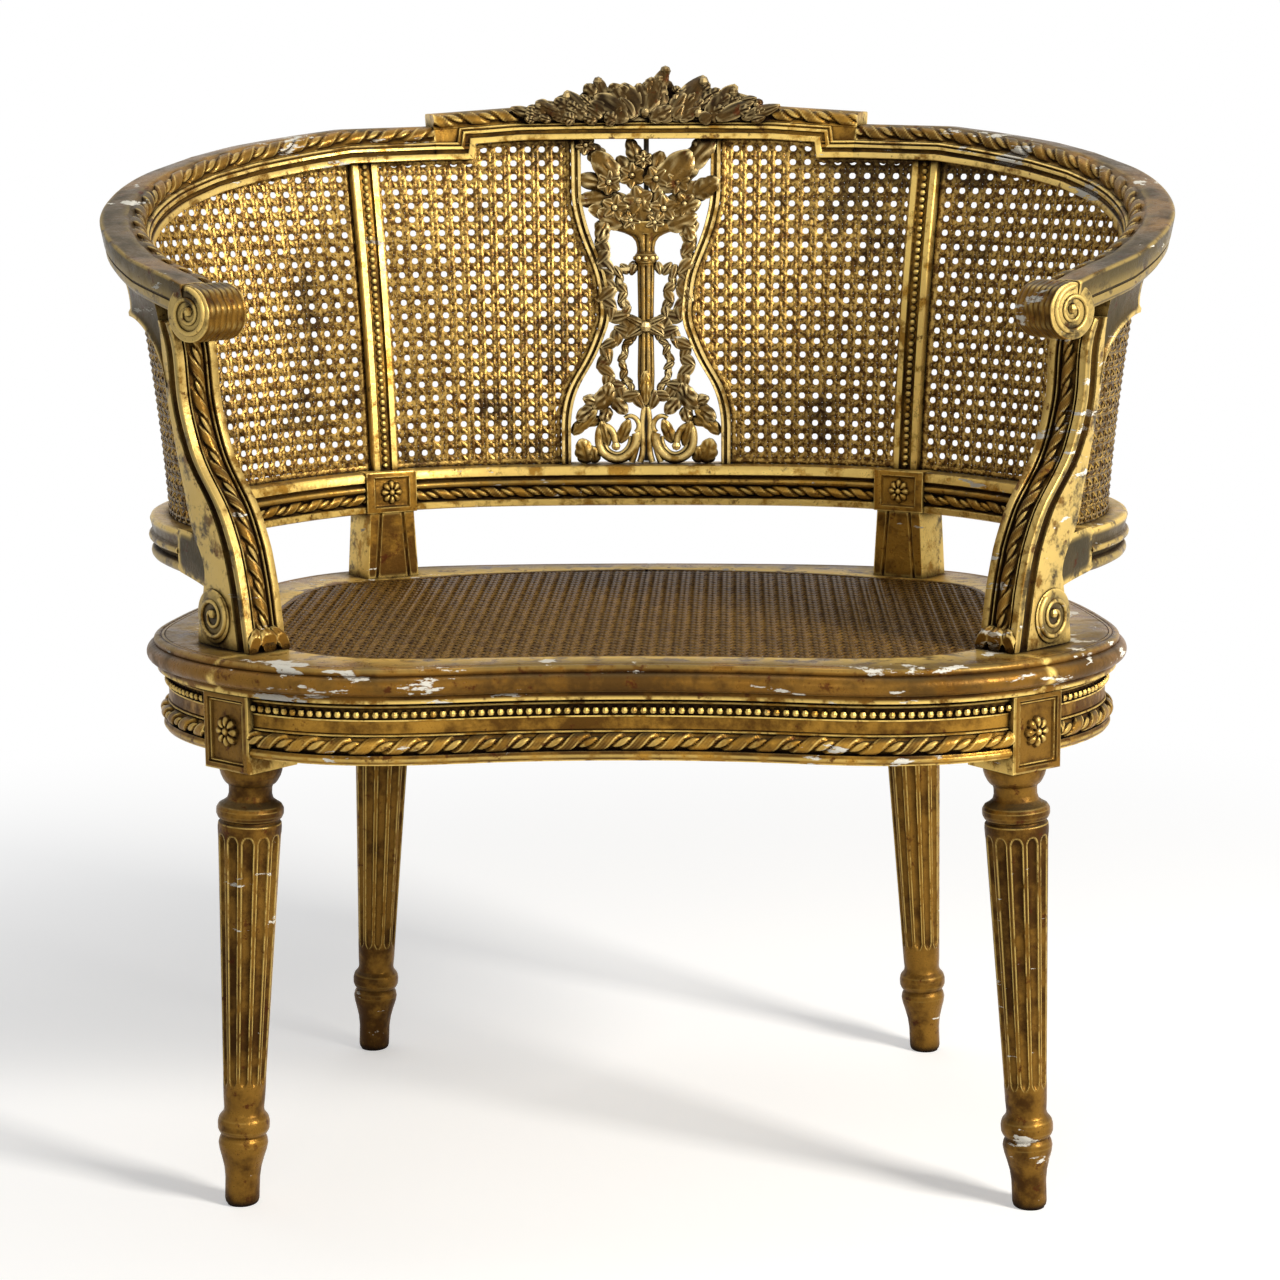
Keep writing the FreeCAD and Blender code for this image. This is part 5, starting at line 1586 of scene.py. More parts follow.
@dataclass
class Splat:
    """The pierced splat: a reeded torch with its bouquet, garlands, and a scrolled foot."""
    stile_width: float = 8.5
    stile_depth: float = 15.0
    reeds: int = 8
    knot_level: float = 655.0
    ring_levels: tuple[float, float] = (708.0, 720.0)
    bell_level: float = 735.0
    seed: int = 7

    stem: Rows = ((584, 4.5), (588, 6.2), (596, 7.4), (612, 8.0), (640, 7.4), (650, 7.0), (662, 7.2),
                  (706, 8.0), (710, 8.2), (711.5, 9.6), (717.5, 9.6), (719, 8.2), (724, 8.2),
                  (729, 9.4), (733, 12.5), (736.5, 19), (739, 28), (741, 33), (744, 31), (747, 20))
    volute: Rows = ((9, 561), (12, 546), (25, 537.4), (38, 543), (42.5, 556),
                    (38.5, 567), (31.5, 564), (28, 556), (27, 549))
    outer_chain: Rows = ((39, 745), (38, 730), (37, 714), (33.5, 698), (34, 684), (31, 669), (21, 661),
                         (8, 655))
    inner_chain: Rows = ((9, 709), (16, 705), (24, 704), (22, 692), (20, 678), (17, 666), (10, 658))
    wreath: Rows = ((7, 653), (19, 650), (30, 642), (36, 629), (35.5, 614), (28, 602), (15, 594),
                    (3, 590))
    inner_wreath: Rows = ((9, 650), (16, 640), (20, 630), (20.5, 618), (17, 606), (9, 598))
    garlands: tuple = ((outer_chain, (17.5, 12.0), 8.2, 5.0), (inner_chain, (13.0, 8.5), 7.2, 4.0),
                       (wreath, (17.0, 11.0), 8.2, 5.0), (inner_wreath, (10.5, 6.8), 7.2, 3.6))
    foot_leaves: tuple = (((24, 552, -4), (15, 573, -6), 12, 3.4, 2.5, 2),
                          ((34, 549, -4), (40, 572, -6), 11, 3.0, 2.5, 2),
                          ((52, 534, -4), (58, 556, -5), 19, 4.0, 3.0, 3),
                          ((46, 534, -3), (47, 549, -5), 12, 3.0, 2.0, 2),
                          ((38, 573, -3), (63, 568, -4), 10, 2.4, 1.0, 2),
                          ((66, 560, -3), (44, 582, -5), 13, 3.0, 2.5, 3))

    def stile(self) -> Carving:
        """A stile with a fillet on each edge of its face and a groove between them.

        Returns:
            The stile on the right.
        """
        level = np.linspace(LOW_TOP + 0.3, SPLAT_TOP + 3.0, 90)
        edge = splat_edge(level)
        smooth = np.convolve(np.pad(edge, 3, mode="edge"), np.ones(7) / 7, mode="valid")
        deep = self.stile_depth / 2
        shape = np.array([(0, deep), (0, 0.8 - deep), (0.7, -deep), (2.9, -deep), (3.5, 1.0 - deep),
                          (4.1, 2.0 - deep), (4.9, 2.0 - deep), (5.5, 1.0 - deep), (6.0, 0.2 - deep),
                          (7.8, -0.2 - deep), (self.stile_width, 0.6 - deep), (self.stile_width, deep)])
        carving = Carving()
        carving.tube(on_back(smooth[:, None] - shape[None, :, 0], level[:, None], shape[None, :, 1]))
        return carving

    def torch(self) -> Carving:
        """The stem: reeded, with a beaded ring below a cup like a trumpet's bell.

        Returns:
            The stem.
        """
        table = np.array(self.stem)
        level = np.unique(np.concatenate([np.linspace(table[0, 0], table[-1, 0], 150), table[:, 0]]))
        radius = np.interp(level, table[:, 0], table[:, 1])
        turn = np.linspace(0, TURN, self.reeds * 9, endpoint=False)
        reed = np.abs(np.sin(turn * self.reeds / 2)) ** 0.55
        low, high = self.ring_levels
        smooth = ((level > low) & (level < high)) | (level > self.bell_level)
        wave = np.where(smooth[:, None], 1.0, 0.76 + 0.24 * reed[None])
        run = radius[:, None] * wave * np.sin(turn)[None]
        out = np.minimum(radius, 9.0)[:, None] * wave * -np.cos(turn)[None]
        carving = Carving()
        carving.tube(on_back(run, level[:, None], out - 1.0))
        beads = np.radians(np.arange(-80, 81, 40))
        carving.balls(on_back(9.2 * np.sin(beads), 714.5, -9.4 * np.cos(beads) - 1.0), 2.5)
        tip = leaf((0, 616, -8.5), (0, 586, -7.0), 11.0, cup=3.0, curl=0.0)
        carving.slab(*tip)
        return carving

    def chain(self, points: tuple, sizes: tuple[float, float], step: float, out: float,
              rng: np.random.Generator) -> Carving:
        """Leaves strung along a curve, leaning to one side and the other in turn.

        Args:
            points: the curve as (run, level) rows.
            sizes: length and width of a leaf.
            step: distance from a leaf to the next.
            out: how far the leaves stand forward of the splat's middle.
            rng: source of the small differences.

        Returns:
            The leaves and the cord that carries them.
        """
        path = spline(np.array(points, float), False, 20)
        reach = runs(path)[-1]
        places = np.arange(step / 2, reach, step)
        spots = along(path, places)
        ahead = unit(along(path, places + 1.0) - along(path, places - 1.0))
        carving = Carving()
        carving.bead(on_back(path[::6, 0], path[::6, 1], -3.0), 2.6, DEPTHWISE, 6)
        for i, (spot, way) in enumerate(zip(spots, ahead)):
            sign = 1 if i % 2 else -1
            lean = math.radians(sign * rng.uniform(28, 58))
            way = np.array([way[0] * math.cos(lean) - way[1] * math.sin(lean),
                            way[0] * math.sin(lean) + way[1] * math.cos(lean)])
            long, wide = sizes[0] * rng.uniform(0.85, 1.15), sizes[1] * rng.uniform(0.9, 1.15)
            base, end = spot - way * long * 0.45, spot + way * long * 0.55
            deep = out + rng.uniform(-1.2, 1.2)
            carving.slab(*leaf((*base, -deep), (*end, -deep), wide, cup=rng.uniform(2.2, 3.4),
                               curl=rng.uniform(0, 2.0), lobes=1))
        return carving

    def foot(self) -> Carving:
        """The scroll at the foot, its inner leaf, the corner leaf and a stem of the fan.

        Returns:
            The right half.
        """
        carving = Carving()
        path = spline(np.array(self.volute, float), False, 16)
        middle = on_back(path[:, 0], path[:, 1], -5.2)
        taper = np.linspace(1.15, 0.75, len(middle))
        carving.bead(middle, 3.7 * taper, DEPTHWISE, 10, 0.9)
        inner = path[: int(len(path) * 0.72)]
        centre = np.array([26.0, 552.0])
        inner = centre + (inner - centre) * 0.66
        carving.bead(on_back(inner[:, 0], inner[:, 1], -3.6), 1.9, DEPTHWISE, 8)
        carving.bud(27.0, 549.5, -6.0, 4.2)
        arm = spline(np.array([(9, 561), (6.5, 569), (11, 575), (19, 574)], float), False, 12)
        carving.bead(on_back(arm[:, 0], arm[:, 1], -5.0), np.linspace(2.8, 2.0, len(arm)),
                     DEPTHWISE, 10)
        for bottom in (4.0, 11.5):
            stem = spline(np.array([(1.5, 584), (3.0 + bottom * 0.12, 566), (bottom * 0.75, 548),
                                    (bottom + 1.5, 535)], float), False, 12)
            carving.bead(on_back(stem[:, 0], stem[:, 1], -4.6),
                         np.linspace(2.0, 3.0, len(stem)), DEPTHWISE, 10)
        for base, tip, wide, cup, curl, lobes in self.foot_leaves:
            carving.slab(*leaf(base, tip, wide, cup=cup, curl=curl, lobes=lobes))
        return carving

    def bouquet(self, rng: np.random.Generator) -> Carving:
        """Flowers and leaves that rise from the cup, and reach the rail and the stiles.

        Args:
            rng: source of the small differences.

        Returns:
            The bouquet.
        """
        carving = Carving()
        sprays = [((-18, 744), (-42, 756), 20), ((-6, 744), (-28, 772), 20), ((2, 742), (-8, 778), 20),
                  ((6, 742), (12, 776), 20), ((10, 742), (34, 772), 22), ((18, 742), (45, 752), 19),
                  ((-24, 768), (-60, 765), 19), ((-28, 778), (-61, 785), 18),
                  ((-24, 780), (-45, 808), 23), ((-38, 796), (-48, 815), 18),
                  ((-46, 808), (-61, 819), 15), ((-12, 780), (-24, 804), 20),
                  ((-6, 782), (-4, 808), 20), ((4, 780), (14, 808), 21), ((-6, 796), (-15, 820), 15),
                  ((12, 774), (40, 808), 30), ((34, 792), (60, 820), 22), ((24, 768), (54, 777), 22),
                  ((40, 768), (64, 784), 20), ((20, 752), (48, 764), 18), ((-20, 754), (-50, 758), 18),
                  ((0, 742), (-20, 752), 16), ((0, 742), (22, 754), 16), ((-34, 748), (-42, 730), 14),
                  ((34, 748), (41, 730), 14), ((26, 782), (46, 798), 18), ((44, 804), (47, 820), 14)]
        for (x, z), (far, high), wide in sprays:
            deep = rng.uniform(3.0, 7.0)
            carving.slab(*leaf((x, z, -deep), (far, high, -deep - rng.uniform(-1.5, 2.0)), wide,
                               cup=rng.uniform(3.0, 5.0), curl=rng.uniform(1.0, 4.0),
                               lobes=int(rng.integers(2, 4)), thick=3.6))
        flowers = ((-27, 759, 12.0), (-6, 765, 13.5), (16, 758, 12.5), (34, 762, 11.0),
                   (-32, 781, 11.0), (-12, 787, 11.5), (9, 784, 12.0), (28, 781, 11.0), (-52, 814, 9.0),
                   (-13, 748, 9.0), (8, 746, 8.5), (-2, 801, 8.0))
        for x, z, radius in flowers:
            first, count = rng.uniform(0, TURN), int(rng.integers(5, 7))
            for k in range(count):
                way = first + TURN * k / count
                tip = (x + radius * math.cos(way), z + radius * math.sin(way),
                       -8.0 - rng.uniform(0, 1.6))
                carving.slab(*leaf((x, z, -7.0), tip, radius * 0.95, cup=2.6, curl=1.6, lobes=1,
                                   thick=3.0))
            carving.bud(x, z, -9.6, radius * 0.24)
        return carving

    def knot(self) -> Carving:
        """The bow on the stem: two loops, two tails and the knot itself.

        Returns:
            The bow.
        """
        carving = Carving()
        for tip, wide in (((-19, 664), 8.5), ((18, 663), 8.5), ((-17, 645), 7.5), ((17, 646), 7.5)):
            carving.slab(*leaf((0, self.knot_level, -7), (*tip, -6), wide, cup=3.2, curl=0.0, lobes=1,
                               thick=4))
        carving.bud(0.0, self.knot_level, -9.0, 5.2)
        return carving

    def spray(self) -> Carving:
        """Leaves between the wreath and the scroll at the foot.

        Returns:
            The right half.
        """
        carving = Carving()
        for (x, z), (far, high), wide in (((28, 600), (47, 583), 19), ((36, 588), (32, 606), 14),
                                          ((38, 586), (56, 592), 13), ((30, 592), (17, 578), 14),
                                          ((44, 584), (62, 573), 15), ((34, 584), (38, 570), 13)):
            carving.slab(*leaf((x, z, -4.5), (far, high, -6), wide, cup=3.8, curl=2.0, lobes=2,
                               thick=4.0))
        return carving

    def build(self) -> None:
        """Build the frame, the flowers on it, and the rod that stands behind them."""
        rng = np.random.default_rng(self.seed)
        carving, flowers = Carving(), Carving()
        for mirrored in (False, True):
            for part in (self.stile(), self.foot()):
                carving.copy_in(part, mirrored)
            for garland in self.garlands:
                flowers.copy_in(self.chain(*garland, rng), mirrored)
            flowers.copy_in(self.spray(), mirrored)
        carving.copy_in(self.torch())
        for part in (self.bouquet(rng), self.knot()):
            flowers.copy_in(part)
        carving.finish("splat_frame", CARVED_GILDING, "carved_wood", ("pierced_splat",))
        flowers.finish("splat_flowers", FLOWER_GILDING, "carved_wood", ())
        rod = Carving()
        level = np.linspace(LOW_TOP + 0.5, SPLAT_TOP, 12)
        path = on_back(0.0, level, 13.0)
        rod.bead(path, 2.4, DEPTHWISE, 14)
        rod.finish("rod_behind_splat", DARK_ROD, "rod", ("splat_rod",))


@dataclass
class CrestCarving:
    """The carved spray on the crest: a shell-like leaf, flowers, and leaves that trail off."""
    seed: int = 11
    rows: int = 4
    spacing: float = 11.5
    outline: Rows = ((-120, 1.5), (-108, 4), (-98, 3), (-88, 8), (-78, 6), (-68, 12), (-60, 9),
                     (-54, 17), (-40, 24), (-33, 18), (-22, 20), (-8, 18), (4, 22), (12, 29), (17, 33),
                     (22, 29), (26, 19), (32, 14), (42, 21), (50, 24), (58, 20), (65, 13), (78, 16),
                     (88, 12), (98, 5), (108, 5), (120, 1.5))
    large: tuple = (((-6, -9), (-26, 17), 30), ((-14, -11), (-44, 8), 24), ((-34, -4), (-42, 25), 16),
                    ((2, -6), (18, 33), 17), ((-2, -4), (-6, 19), 20), ((30, -9), (51, 25), 24),
                    ((22, -11), (42, 8), 20), ((54, -11), (78, 17), 20), ((-52, -11), (-69, 13), 18),
                    ((62, -12), (95, 4), 14), ((-64, -12), (-95, 3), 14), ((86, -10), (116, 1), 11),
                    ((-88, -10), (-116, 0), 11), ((4, -12), (24, -2), 15))
    buds: Rows = ((17, 30, 5.0), (12, 22, 5.0), (-41, 21, 4.6), (27, 6, 4.4), (50, 20, 5.0),
                  (76, 11, 4.6), (-68, 8, 4.4), (-22, -4, 4.4), (0, -6, 4.6), (46, -7, 4.4),
                  (-92, 1, 3.2), (96, 0, 3.2))

    def depth(self, rise: Array) -> Array:
        """Outward place of the carving's face: proud below, and leaning back as it rises."""
        return -19.5 + 12.0 * np.clip((rise + 12) / 42, 0, 1)

    def build(self) -> None:
        """Build the carving as one piece, over a low ridge that holds its leaves together.

        Rows of leaves spring away from a point below the middle, each shortened where it
        would pass the outline, with the large leaves and the buds on top of them.
        """
        rng = np.random.default_rng(self.seed)
        table = np.array(self.outline, float)
        carving = Carving()
        run = np.linspace(-92, 92, 130)
        rise = np.interp(run, table[:, 0], table[:, 1]) * 0.72
        share = np.linspace(0, 1, 12)
        face = -13 + (rise[:, None] + 13) * share[None]
        lumps = np.sin(run[:, None] / 3.7 + 5 * share) * np.sin(9 * share + run[:, None] / 9)
        level = crest_top(run)[:, None] + face
        front = on_back(run[:, None], level, self.depth(face) + 3.0 + 1.6 * lumps)
        carving.slab(front, on_back(run[:, None], level, 2.5))
        for row in range(self.rows):
            for x in np.arange(-92.0, 93.0, self.spacing):
                x = x + rng.uniform(-5, 5)
                high = float(np.interp(x, table[:, 0], table[:, 1]))
                z = -12 + (high + 6) * row / self.rows + rng.uniform(-2, 2)
                way = np.array([x * 0.9, z + 34 + rng.uniform(-9, 9)])
                way = way / np.linalg.norm(way) * rng.uniform(13, 23) * (1 - 0.35 * abs(x) / 92)
                tip = np.array([x, z]) + way
                tip[1] = min(tip[1], float(np.interp(tip[0], table[:, 0], table[:, 1])))
                wide = rng.uniform(11, 18) * (1 - 0.35 * abs(x) / 92)
                self.put(carving, (x, z), (float(tip[0]), float(tip[1])), wide, rng)
        for base, tip, wide in self.large:
            self.put(carving, base, tip, wide, rng)
        for x, z, radius in self.buds:
            carving.bud(x, crest_top(x) + z, self.depth(z) - 1.0, radius)
        carving.finish("crest_spray", CREST_GILDING, "carved_wood", ("crest_carving",))

    def put(self, carving: Carving, base: tuple, tip: tuple, wide: float,
            rng: np.random.Generator) -> None:
        """Add one leaf.

        Args:
            carving: what it is added to.
            base, tip: ends of its rib, as (run, rise over the rail's top).
            wide: its width.
            rng: source of the small differences.
        """
        ends = []
        for x, z in (base, tip):
            ends.append((x, crest_top(x) + z, self.depth(z) + rng.uniform(-2.0, 1.0)))
        carving.slab(*leaf(ends[0], ends[1], wide, cup=rng.uniform(2.4, 4.2),
                           curl=rng.uniform(0.5, 4.0), lobes=int(rng.integers(1, 4)), thick=4.5))


# Cane

@dataclass
class Weave:
    """Six-way cane: pairs up and across, and one strand each way on the slant."""
    pitch: float = 12.0
    spread: float = 1.85
    width: float = 3.3
    thick: float = 1.3
    lift: float = 1.3
    tip: float = 0.02

    def strands(self, low: Array, high: Array,
                steps: int = 4) -> list[tuple[Array, Array, Array, Array]]:
        """Samples of every strand over a rectangle.

        Up strands stand at whole pitches give or take the spread, cross strands likewise,
        and slanted ones lie half a pitch off the crossings. Each weaves over and under as a
        cosine of its run.

        Args:
            low, high: corners of the rectangle.
            steps: samples a pitch.

        Returns:
            For each family: places across and up, height above the sheet and width direction.
        """
        p = self.pitch
        families = []
        cells = np.arange(math.floor(low[0] / p) - 1, math.ceil(high[0] / p) + 2)
        rows = np.arange(math.floor(low[1] / p) - 1, math.ceil(high[1] / p) + 2)
        walk_x = np.arange(cells[0] * steps, cells[-1] * steps + 1) * (p / steps)
        walk_y = np.arange(rows[0] * steps, rows[-1] * steps + 1) * (p / steps)
        for part in (-1, 1):
            x, y = np.meshgrid(cells * p + part * self.spread, walk_y, indexing="ij")
            lift = -0.5 * self.lift * (0.5 + 0.5 * np.cos(TURN * y / p))
            families.append((x, y, lift, np.array([1.0, 0.0])))
            y, x = np.meshgrid(rows * p + part * self.spread, walk_x, indexing="ij")
            lift = 0.5 * self.lift * (0.5 + 0.5 * np.cos(TURN * x / p))
            families.append((x, y, lift, np.array([0.0, 1.0])))
        tall = (rows[-1] - rows[0]) * p
        for slant in (-1, 1):
            starts = np.arange(cells[0] - math.ceil(tall / p) - 1, cells[-1] + 2) + 0.5
            x, y = np.meshgrid(starts, walk_y, indexing="ij")
            x = x * p + slant * (y - (rows[0] if slant > 0 else rows[-1]) * p)
            lift = slant * self.lift * np.cos(TURN * x / p)
            families.append((x, y, lift, np.array([1.0, -slant]) / math.sqrt(2)))
        return families

    def weave(self, surface: Surface, inside: Inside, low: Array, high: Array, steps: int = 4,
              half: int = 0) -> Carving:
        """Lay the strands on a surface, within an outline.

        Args:
            surface: gives points for places across, up and out.
            inside: tells which places lie within the outline.
            low, high: corners of a rectangle that holds the outline.
            steps: samples a pitch.
            half: sign of the places across to keep, or 0 for all.

        Returns:
            The strands as four-sided tubes, drawn to a point at their ends.
        """
        carving = Carving()
        ring = np.array([(-0.5, 0.0), (0.0, 0.5), (0.5, 0.0), (0.0, -0.5)])
        for x, y, lift, wide in self.strands(low, high, steps):
            keep = inside(x, y)
            if half:
                lap = 0.0 if wide[1] == 0 else 1.5 * self.pitch / steps
                keep = keep & (x * half > -lap - 0.1)
            before = np.pad(keep[:, :-1], ((0, 0), (1, 0)))
            after = np.pad(keep[:, 1:], ((0, 0), (0, 1)))
            body = (keep & before & after).astype(float)
            size = np.where(body > 0, 1.0, self.tip)[..., None]
            across = x[..., None] + wide[0] * ring[:, 0] * self.width * size
            up = y[..., None] + wide[1] * ring[:, 0] * self.width * size
            out = lift[..., None] + ring[:, 1] * self.thick * size
            points = surface(across, up, out)
            joined = keep[:, :-1] & keep[:, 1:]
            number = np.arange(x.size * 4).reshape(x.shape + (4,))
            start, end = number[:, :-1][joined], number[:, 1:][joined]
            quads = np.stack([start, np.roll(start, -1, axis=1), np.roll(end, -1, axis=1), end],
                             axis=-1).reshape(-1, 4)
            if not len(quads):
                continue
            used, fresh = np.unique(quads, return_inverse=True)
            carving.put(points.reshape(-1, 3)[used], fresh.reshape(-1, 4), NO_CORNERS)
        return carving


def binding(path: Array, facing: Array, width: float = 4.6, thick: float = 1.5,
            pitch: float = 6.0) -> Array:
    """Rings of the flat cane that binds an edge, pinched where each loop crosses it.

    Args:
        path: points of its middle.
        facing: the way its flat looks.
        width, thick: its size across.
        pitch: length from a loop to the next.

    Returns:
        Points by ring and by place round it.
    """
    dense = along(path, np.arange(0, runs(path)[-1], pitch / 4))
    face = unit(np.broadcast_to(facing, dense.shape))
    side = unit(np.cross(unit(np.gradient(dense, axis=0)), face))
    place = np.arange(len(dense)) * pitch / 4
    pinch = 1 - 0.22 * np.cos(TURN * place / pitch)
    turn = np.linspace(0, TURN, 8, endpoint=False)
    wide = (np.cos(turn) * width / 2)[None, :, None] * pinch[:, None, None]
    deep = (np.sin(turn) * thick / 2)[None, :, None]
    return dense[:, None] + side[:, None] * wide + face[:, None] * deep


@dataclass
class CanePanels:
    """The caned panels of back and arms, and the caned seat."""
    weave: Weave = field(default_factory=Weave)
    tuck: float = 3.0
    inset: float = 2.4
    stile_half: float = 11.5
    levels: tuple[float, float] = (520.0, 850.0)
    splat_end: float = 818.0
    inner_stile_end: float = 800.0
    outer_stile_end: float = 797.0
    arm_start: float = 530.0
    seat_corners: tuple = ((-300.0, -230.0), (300.0, 215.0))

    def between_rails(self, run: Array, level: Array) -> Array:
        """Places between the lower rail and the top rail, with the cane's tuck."""
        return (level > low_top(run) - self.tuck) & (level < rail_bottom(run) + self.tuck)

    def inside_back(self, run: Array, level: Array) -> Array:
        """Places between the splat and the post's stile."""
        return (run > splat_edge(level) - self.tuck) & self.between_rails(run, level) \
            & (run < POST_RUN - self.stile_half + self.tuck)

    def inside_side(self, run: Array, level: Array) -> Array:
        """Places between the post's stile and the arm's support."""
        return (run > POST_RUN + self.stile_half - self.tuck) & self.between_rails(run, level) \
            & (run < self.support_edge(level) + self.tuck)

    def support_edge(self, level: Array) -> Array:
        """Back edge of the arm's support at a height, as a length along the plan."""
        line = np.array(ArmSupport.back_line)
        return HALF_LENGTH - np.interp(level, line[:, 0], line[:, 1])

    def edges(self, first: float, last: float) -> list[Array]:
        """Paths of the binding along the bottom and the top of a panel."""
        run = np.linspace(first, last, 60)
        return [np.stack([run, low_top(run) + self.inset], axis=1),
                np.stack([run, rail_bottom(run) - self.inset], axis=1)]

    def upright(self, run: float, end: float) -> Array:
        """Path of the binding along a post's stile."""
        return np.stack([np.full(40, run), np.linspace(LOW_TOP + 2, end, 40)], axis=1)

    def back(self, name: str, inside: Inside, first: float, last: float, lines: list[Array]) -> None:
        """A pair of panels of the back.

        Args:
            name: the panels' name.
            inside: tells which places lie within a panel.
            first, last: lengths along the plan that hold the right panel.
            lines: paths of its bindings, as (run, level) rows.
        """
        low, high = self.levels
        carving = self.weave.weave(on_back, inside, np.array([first, low]), np.array([last, high]))
        for line in lines:
            _, normal = BACK.at(line[:, 0] + HALF_LENGTH)
            carving.tube(binding(on_back(line[:, 0], line[:, 1], -0.9), -normal.mean(axis=0)))
        for side in Side:
            carving.on(side).finish("%s_weave_%s" % (name, side.word), BACK_CANE, "back_cane",
                                    ("%s_%s_cane" % (side.word, name),))

    def build(self) -> None:
        """Build the four panels of the back and the seat's cane."""
        inner, outer = POST_RUN - self.stile_half, POST_RUN + self.stile_half
        level = np.linspace(LOW_TOP + 2, self.splat_end, 50)
        splat = np.stack([splat_edge(level) + self.inset, level], axis=1)
        stile = self.upright(inner - self.inset, self.inner_stile_end)
        self.back("back", self.inside_back, 30.0, POST_RUN, self.edges(70, inner) + [splat, stile])
        level = np.linspace(self.arm_start, SUPPORT_TOP, 40)
        arm = np.stack([self.support_edge(level) - self.inset, level], axis=1)
        stile = self.upright(outer + self.inset, self.outer_stile_end)
        self.back("side", self.inside_side, POST_RUN, HALF_LENGTH - 60,
                  self.edges(outer, HALF_LENGTH - 92) + [arm, stile])
        self.seat()

    def seat(self) -> None:
        """The seat's cane in two halves, which lies flat a little below the border."""
        edge = CANE_EDGE.points
        angle = np.arctan2(edge[:, 1], edge[:, 0])
        edge, angle = edge[np.argsort(angle)], np.sort(angle)

        def inside(x: Array, y: Array) -> Array:
            """Places within the cane's edge, by the edge's distance in their direction."""
            far = np.interp(np.arctan2(y, x), angle, np.hypot(edge[:, 0], edge[:, 1]), period=TURN)
            return np.hypot(x, y) < far - 1.0

        def surface(x: Array, y: Array, out: Array) -> Array:
            """Points of the level sheet."""
            return np.stack([x, y, SEAT_TOP - 1.6 - out], axis=-1)

        for side in Side:
            half = self.weave.weave(surface, inside, *np.array(self.seat_corners), 3, side.value)
            places = np.linspace(0, CANE_EDGE.length / 2, 400) * side.value
            point, normal = CANE_EDGE.at(places)
            path = point - normal * 2.2 + [0, 0, SEAT_TOP - 0.9]
            half.tube(binding(path, UP))
            half.finish("seat_weave_" + side.word, SEAT_CANE, "seat_cane", ("seat_cane",))


# Stage

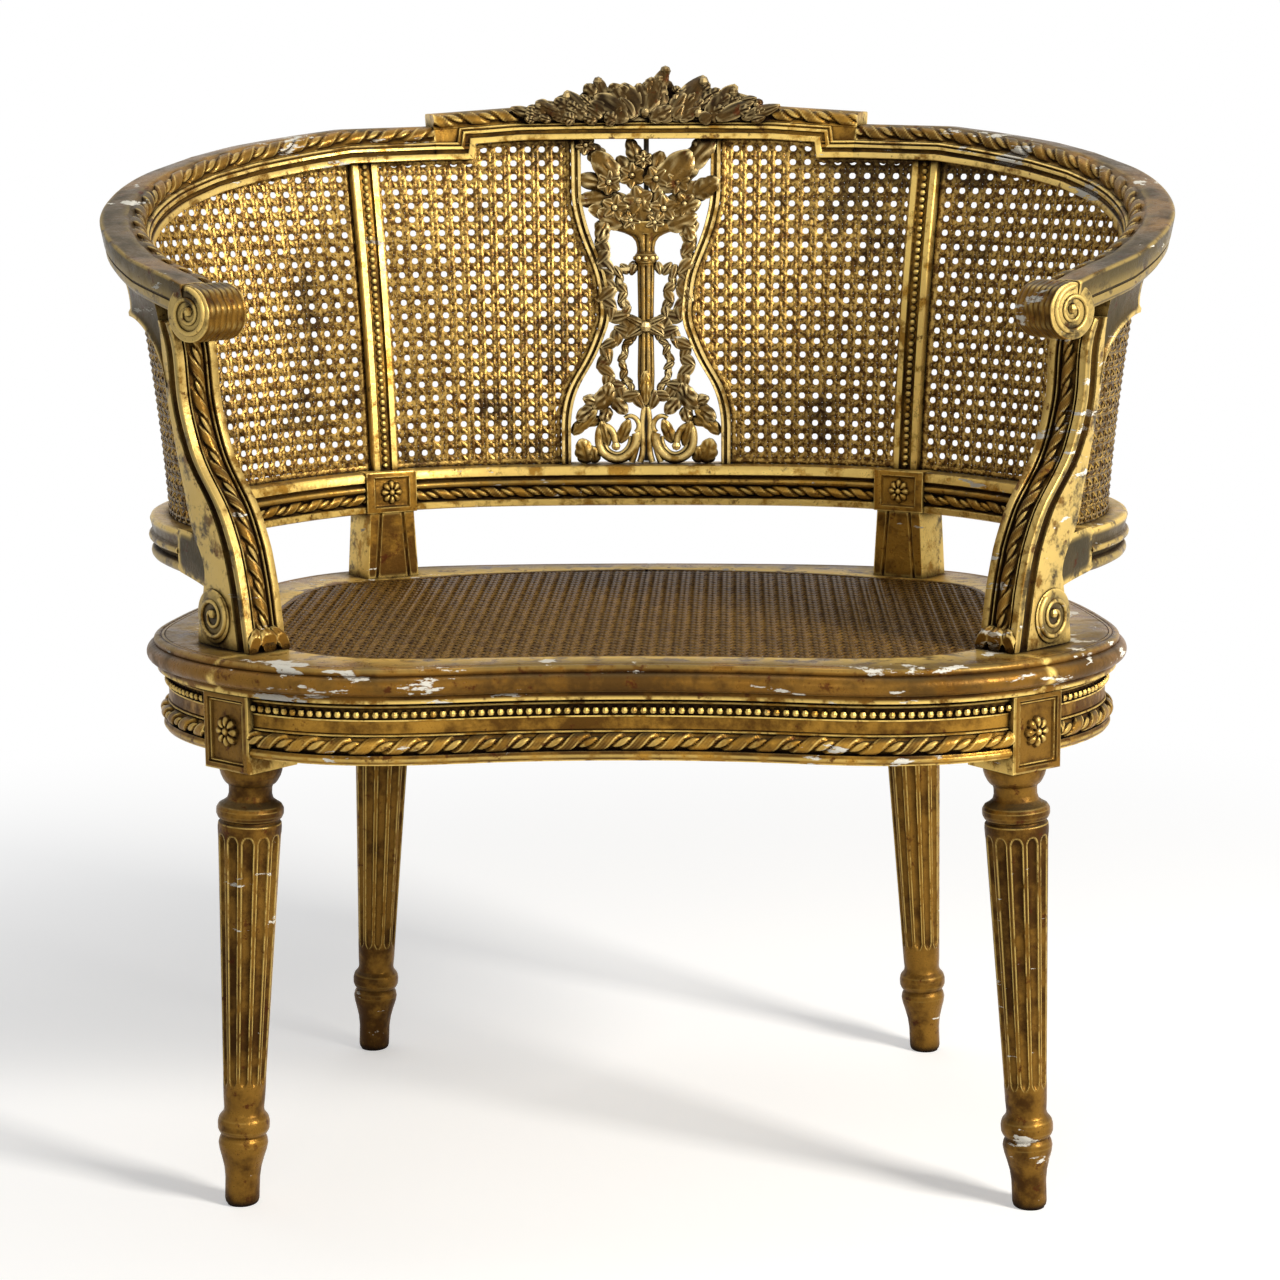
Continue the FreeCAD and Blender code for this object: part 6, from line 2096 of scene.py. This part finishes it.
@dataclass
class Studio:
    """Pale floor and backdrop, soft lamps and the camera."""
    camera_place: tuple = (0.081, -2.469 + ORIGIN_SHIFT * MM, 0.859)
    pitch: float = 10.18
    yaw: float = 1.58
    roll: float = -0.32
    focal_pixels: float = 3030.0
    frame_pixels: float = 1280.0
    centre: tuple = (655.0, 637.0)
    floor_half: float = 6.0
    lit_place: tuple = (0.0, 0.0, 0.5)
    lamps: tuple = (("key", (2.5, -1.9, 1.9), 0.8, 130.0, (1.0, 0.96, 0.89)),
                    ("fill", (-0.3, -3.2, 1.3), 1.0, 7.0, (0.96, 0.98, 1.0)),
                    ("over", (-0.3, 0.6, 2.8), 1.6, 16.0, WHITE))

    def camera(self) -> None:
        """Camera with the photograph's place, turn and framing."""
        data = bpy.data.cameras.new("view")
        data.sensor_width = 36.0
        data.lens = self.focal_pixels / self.frame_pixels * data.sensor_width
        data.shift_x = (self.frame_pixels / 2 - self.centre[0]) / self.frame_pixels
        data.shift_y = (self.centre[1] - self.frame_pixels / 2) / self.frame_pixels
        yaw, pitch, roll = (math.radians(v) for v in (self.yaw, 90.0 - self.pitch, self.roll))
        view = bpy.data.objects.new("view", data)
        view.matrix_world = Matrix.Translation(self.camera_place) @ Matrix.Rotation(yaw, 4, "Z") \
            @ Matrix.Rotation(pitch, 4, "X") @ Matrix.Rotation(roll, 4, "Z")
        bpy.context.scene.collection.objects.link(view)
        bpy.context.scene.camera = view

    def lamp(self, name: str, place: tuple, size: float, power: float, colour: Colour) -> None:
        """A square lamp that looks at the middle of the chair.

        Args:
            name: its name.
            place: where it stands, in metres.
            size: its side in metres.
            power: its power in watts.
            colour: its colour.
        """
        data = bpy.data.lights.new(name, "AREA")
        data.shape, data.size, data.energy, data.color = "SQUARE", size, power, colour
        lamp = bpy.data.objects.new(name, data)
        turn = (Vector(place) - Vector(self.lit_place)).to_track_quat("Z", "Y")
        lamp.matrix_world = Matrix.Translation(place) @ turn.to_matrix().to_4x4()
        bpy.context.scene.collection.objects.link(lamp)

    def floor(self) -> None:
        """A wide square floor."""
        wide = self.floor_half
        corners = [(-wide, -wide, 0.0), (wide, -wide, 0.0), (wide, wide, 0.0), (-wide, wide, 0.0)]
        mesh = bpy.data.meshes.new("floor")
        mesh.from_pydata(corners, [], [(0, 1, 2, 3)])
        mesh.materials.append(FLOOR_PAPER.material())
        floor = bpy.data.objects.new("floor", mesh)
        bpy.context.scene.collection.objects.link(floor)

    def build(self) -> None:
        """Set the stage."""
        self.camera()
        self.floor()
        for lamp in self.lamps:
            self.lamp(*lamp)
        self.room()
        bpy.context.scene.view_settings.view_transform = "Standard"

    def room(self) -> None:
        """A world that lights dimly and is white to the camera and in mirrors."""
        world = bpy.data.worlds.new("room")
        n = Nodes(world)
        dim = n.add("ShaderNodeBackground", Color=(0.80, 0.84, 0.90), Strength=0.10)
        white = n.add("ShaderNodeBackground", Color=WHITE, Strength=1.0)
        both = n.add("ShaderNodeMixShader", i0=n.seen(), i1=dim.outputs[0], i2=white.outputs[0])
        n.add("ShaderNodeOutputWorld", Surface=both.outputs[0])
        bpy.context.scene.world = world


def main() -> None:
    """Build the sub-assemblies in order, then the stage."""
    logging.basicConfig(level=logging.INFO, format="%(name)s %(message)s")
    SeatFrame().build()
    for side in Side:
        Leg("front_leg", FRONT_LEG_SHARE, 2.8, 0.0, side).build()
        Leg("rear_leg", REAR_LEG_SHARE, 2.8, 1.1, side).build()
        Post(side).build()
        ArmSupport(side).build()
    TopRails().build()
    LowRails().build()
    Splat().build()
    CrestCarving().build()
    CanePanels().build()
    Studio().build()


if __name__ == "__main__":
    main()
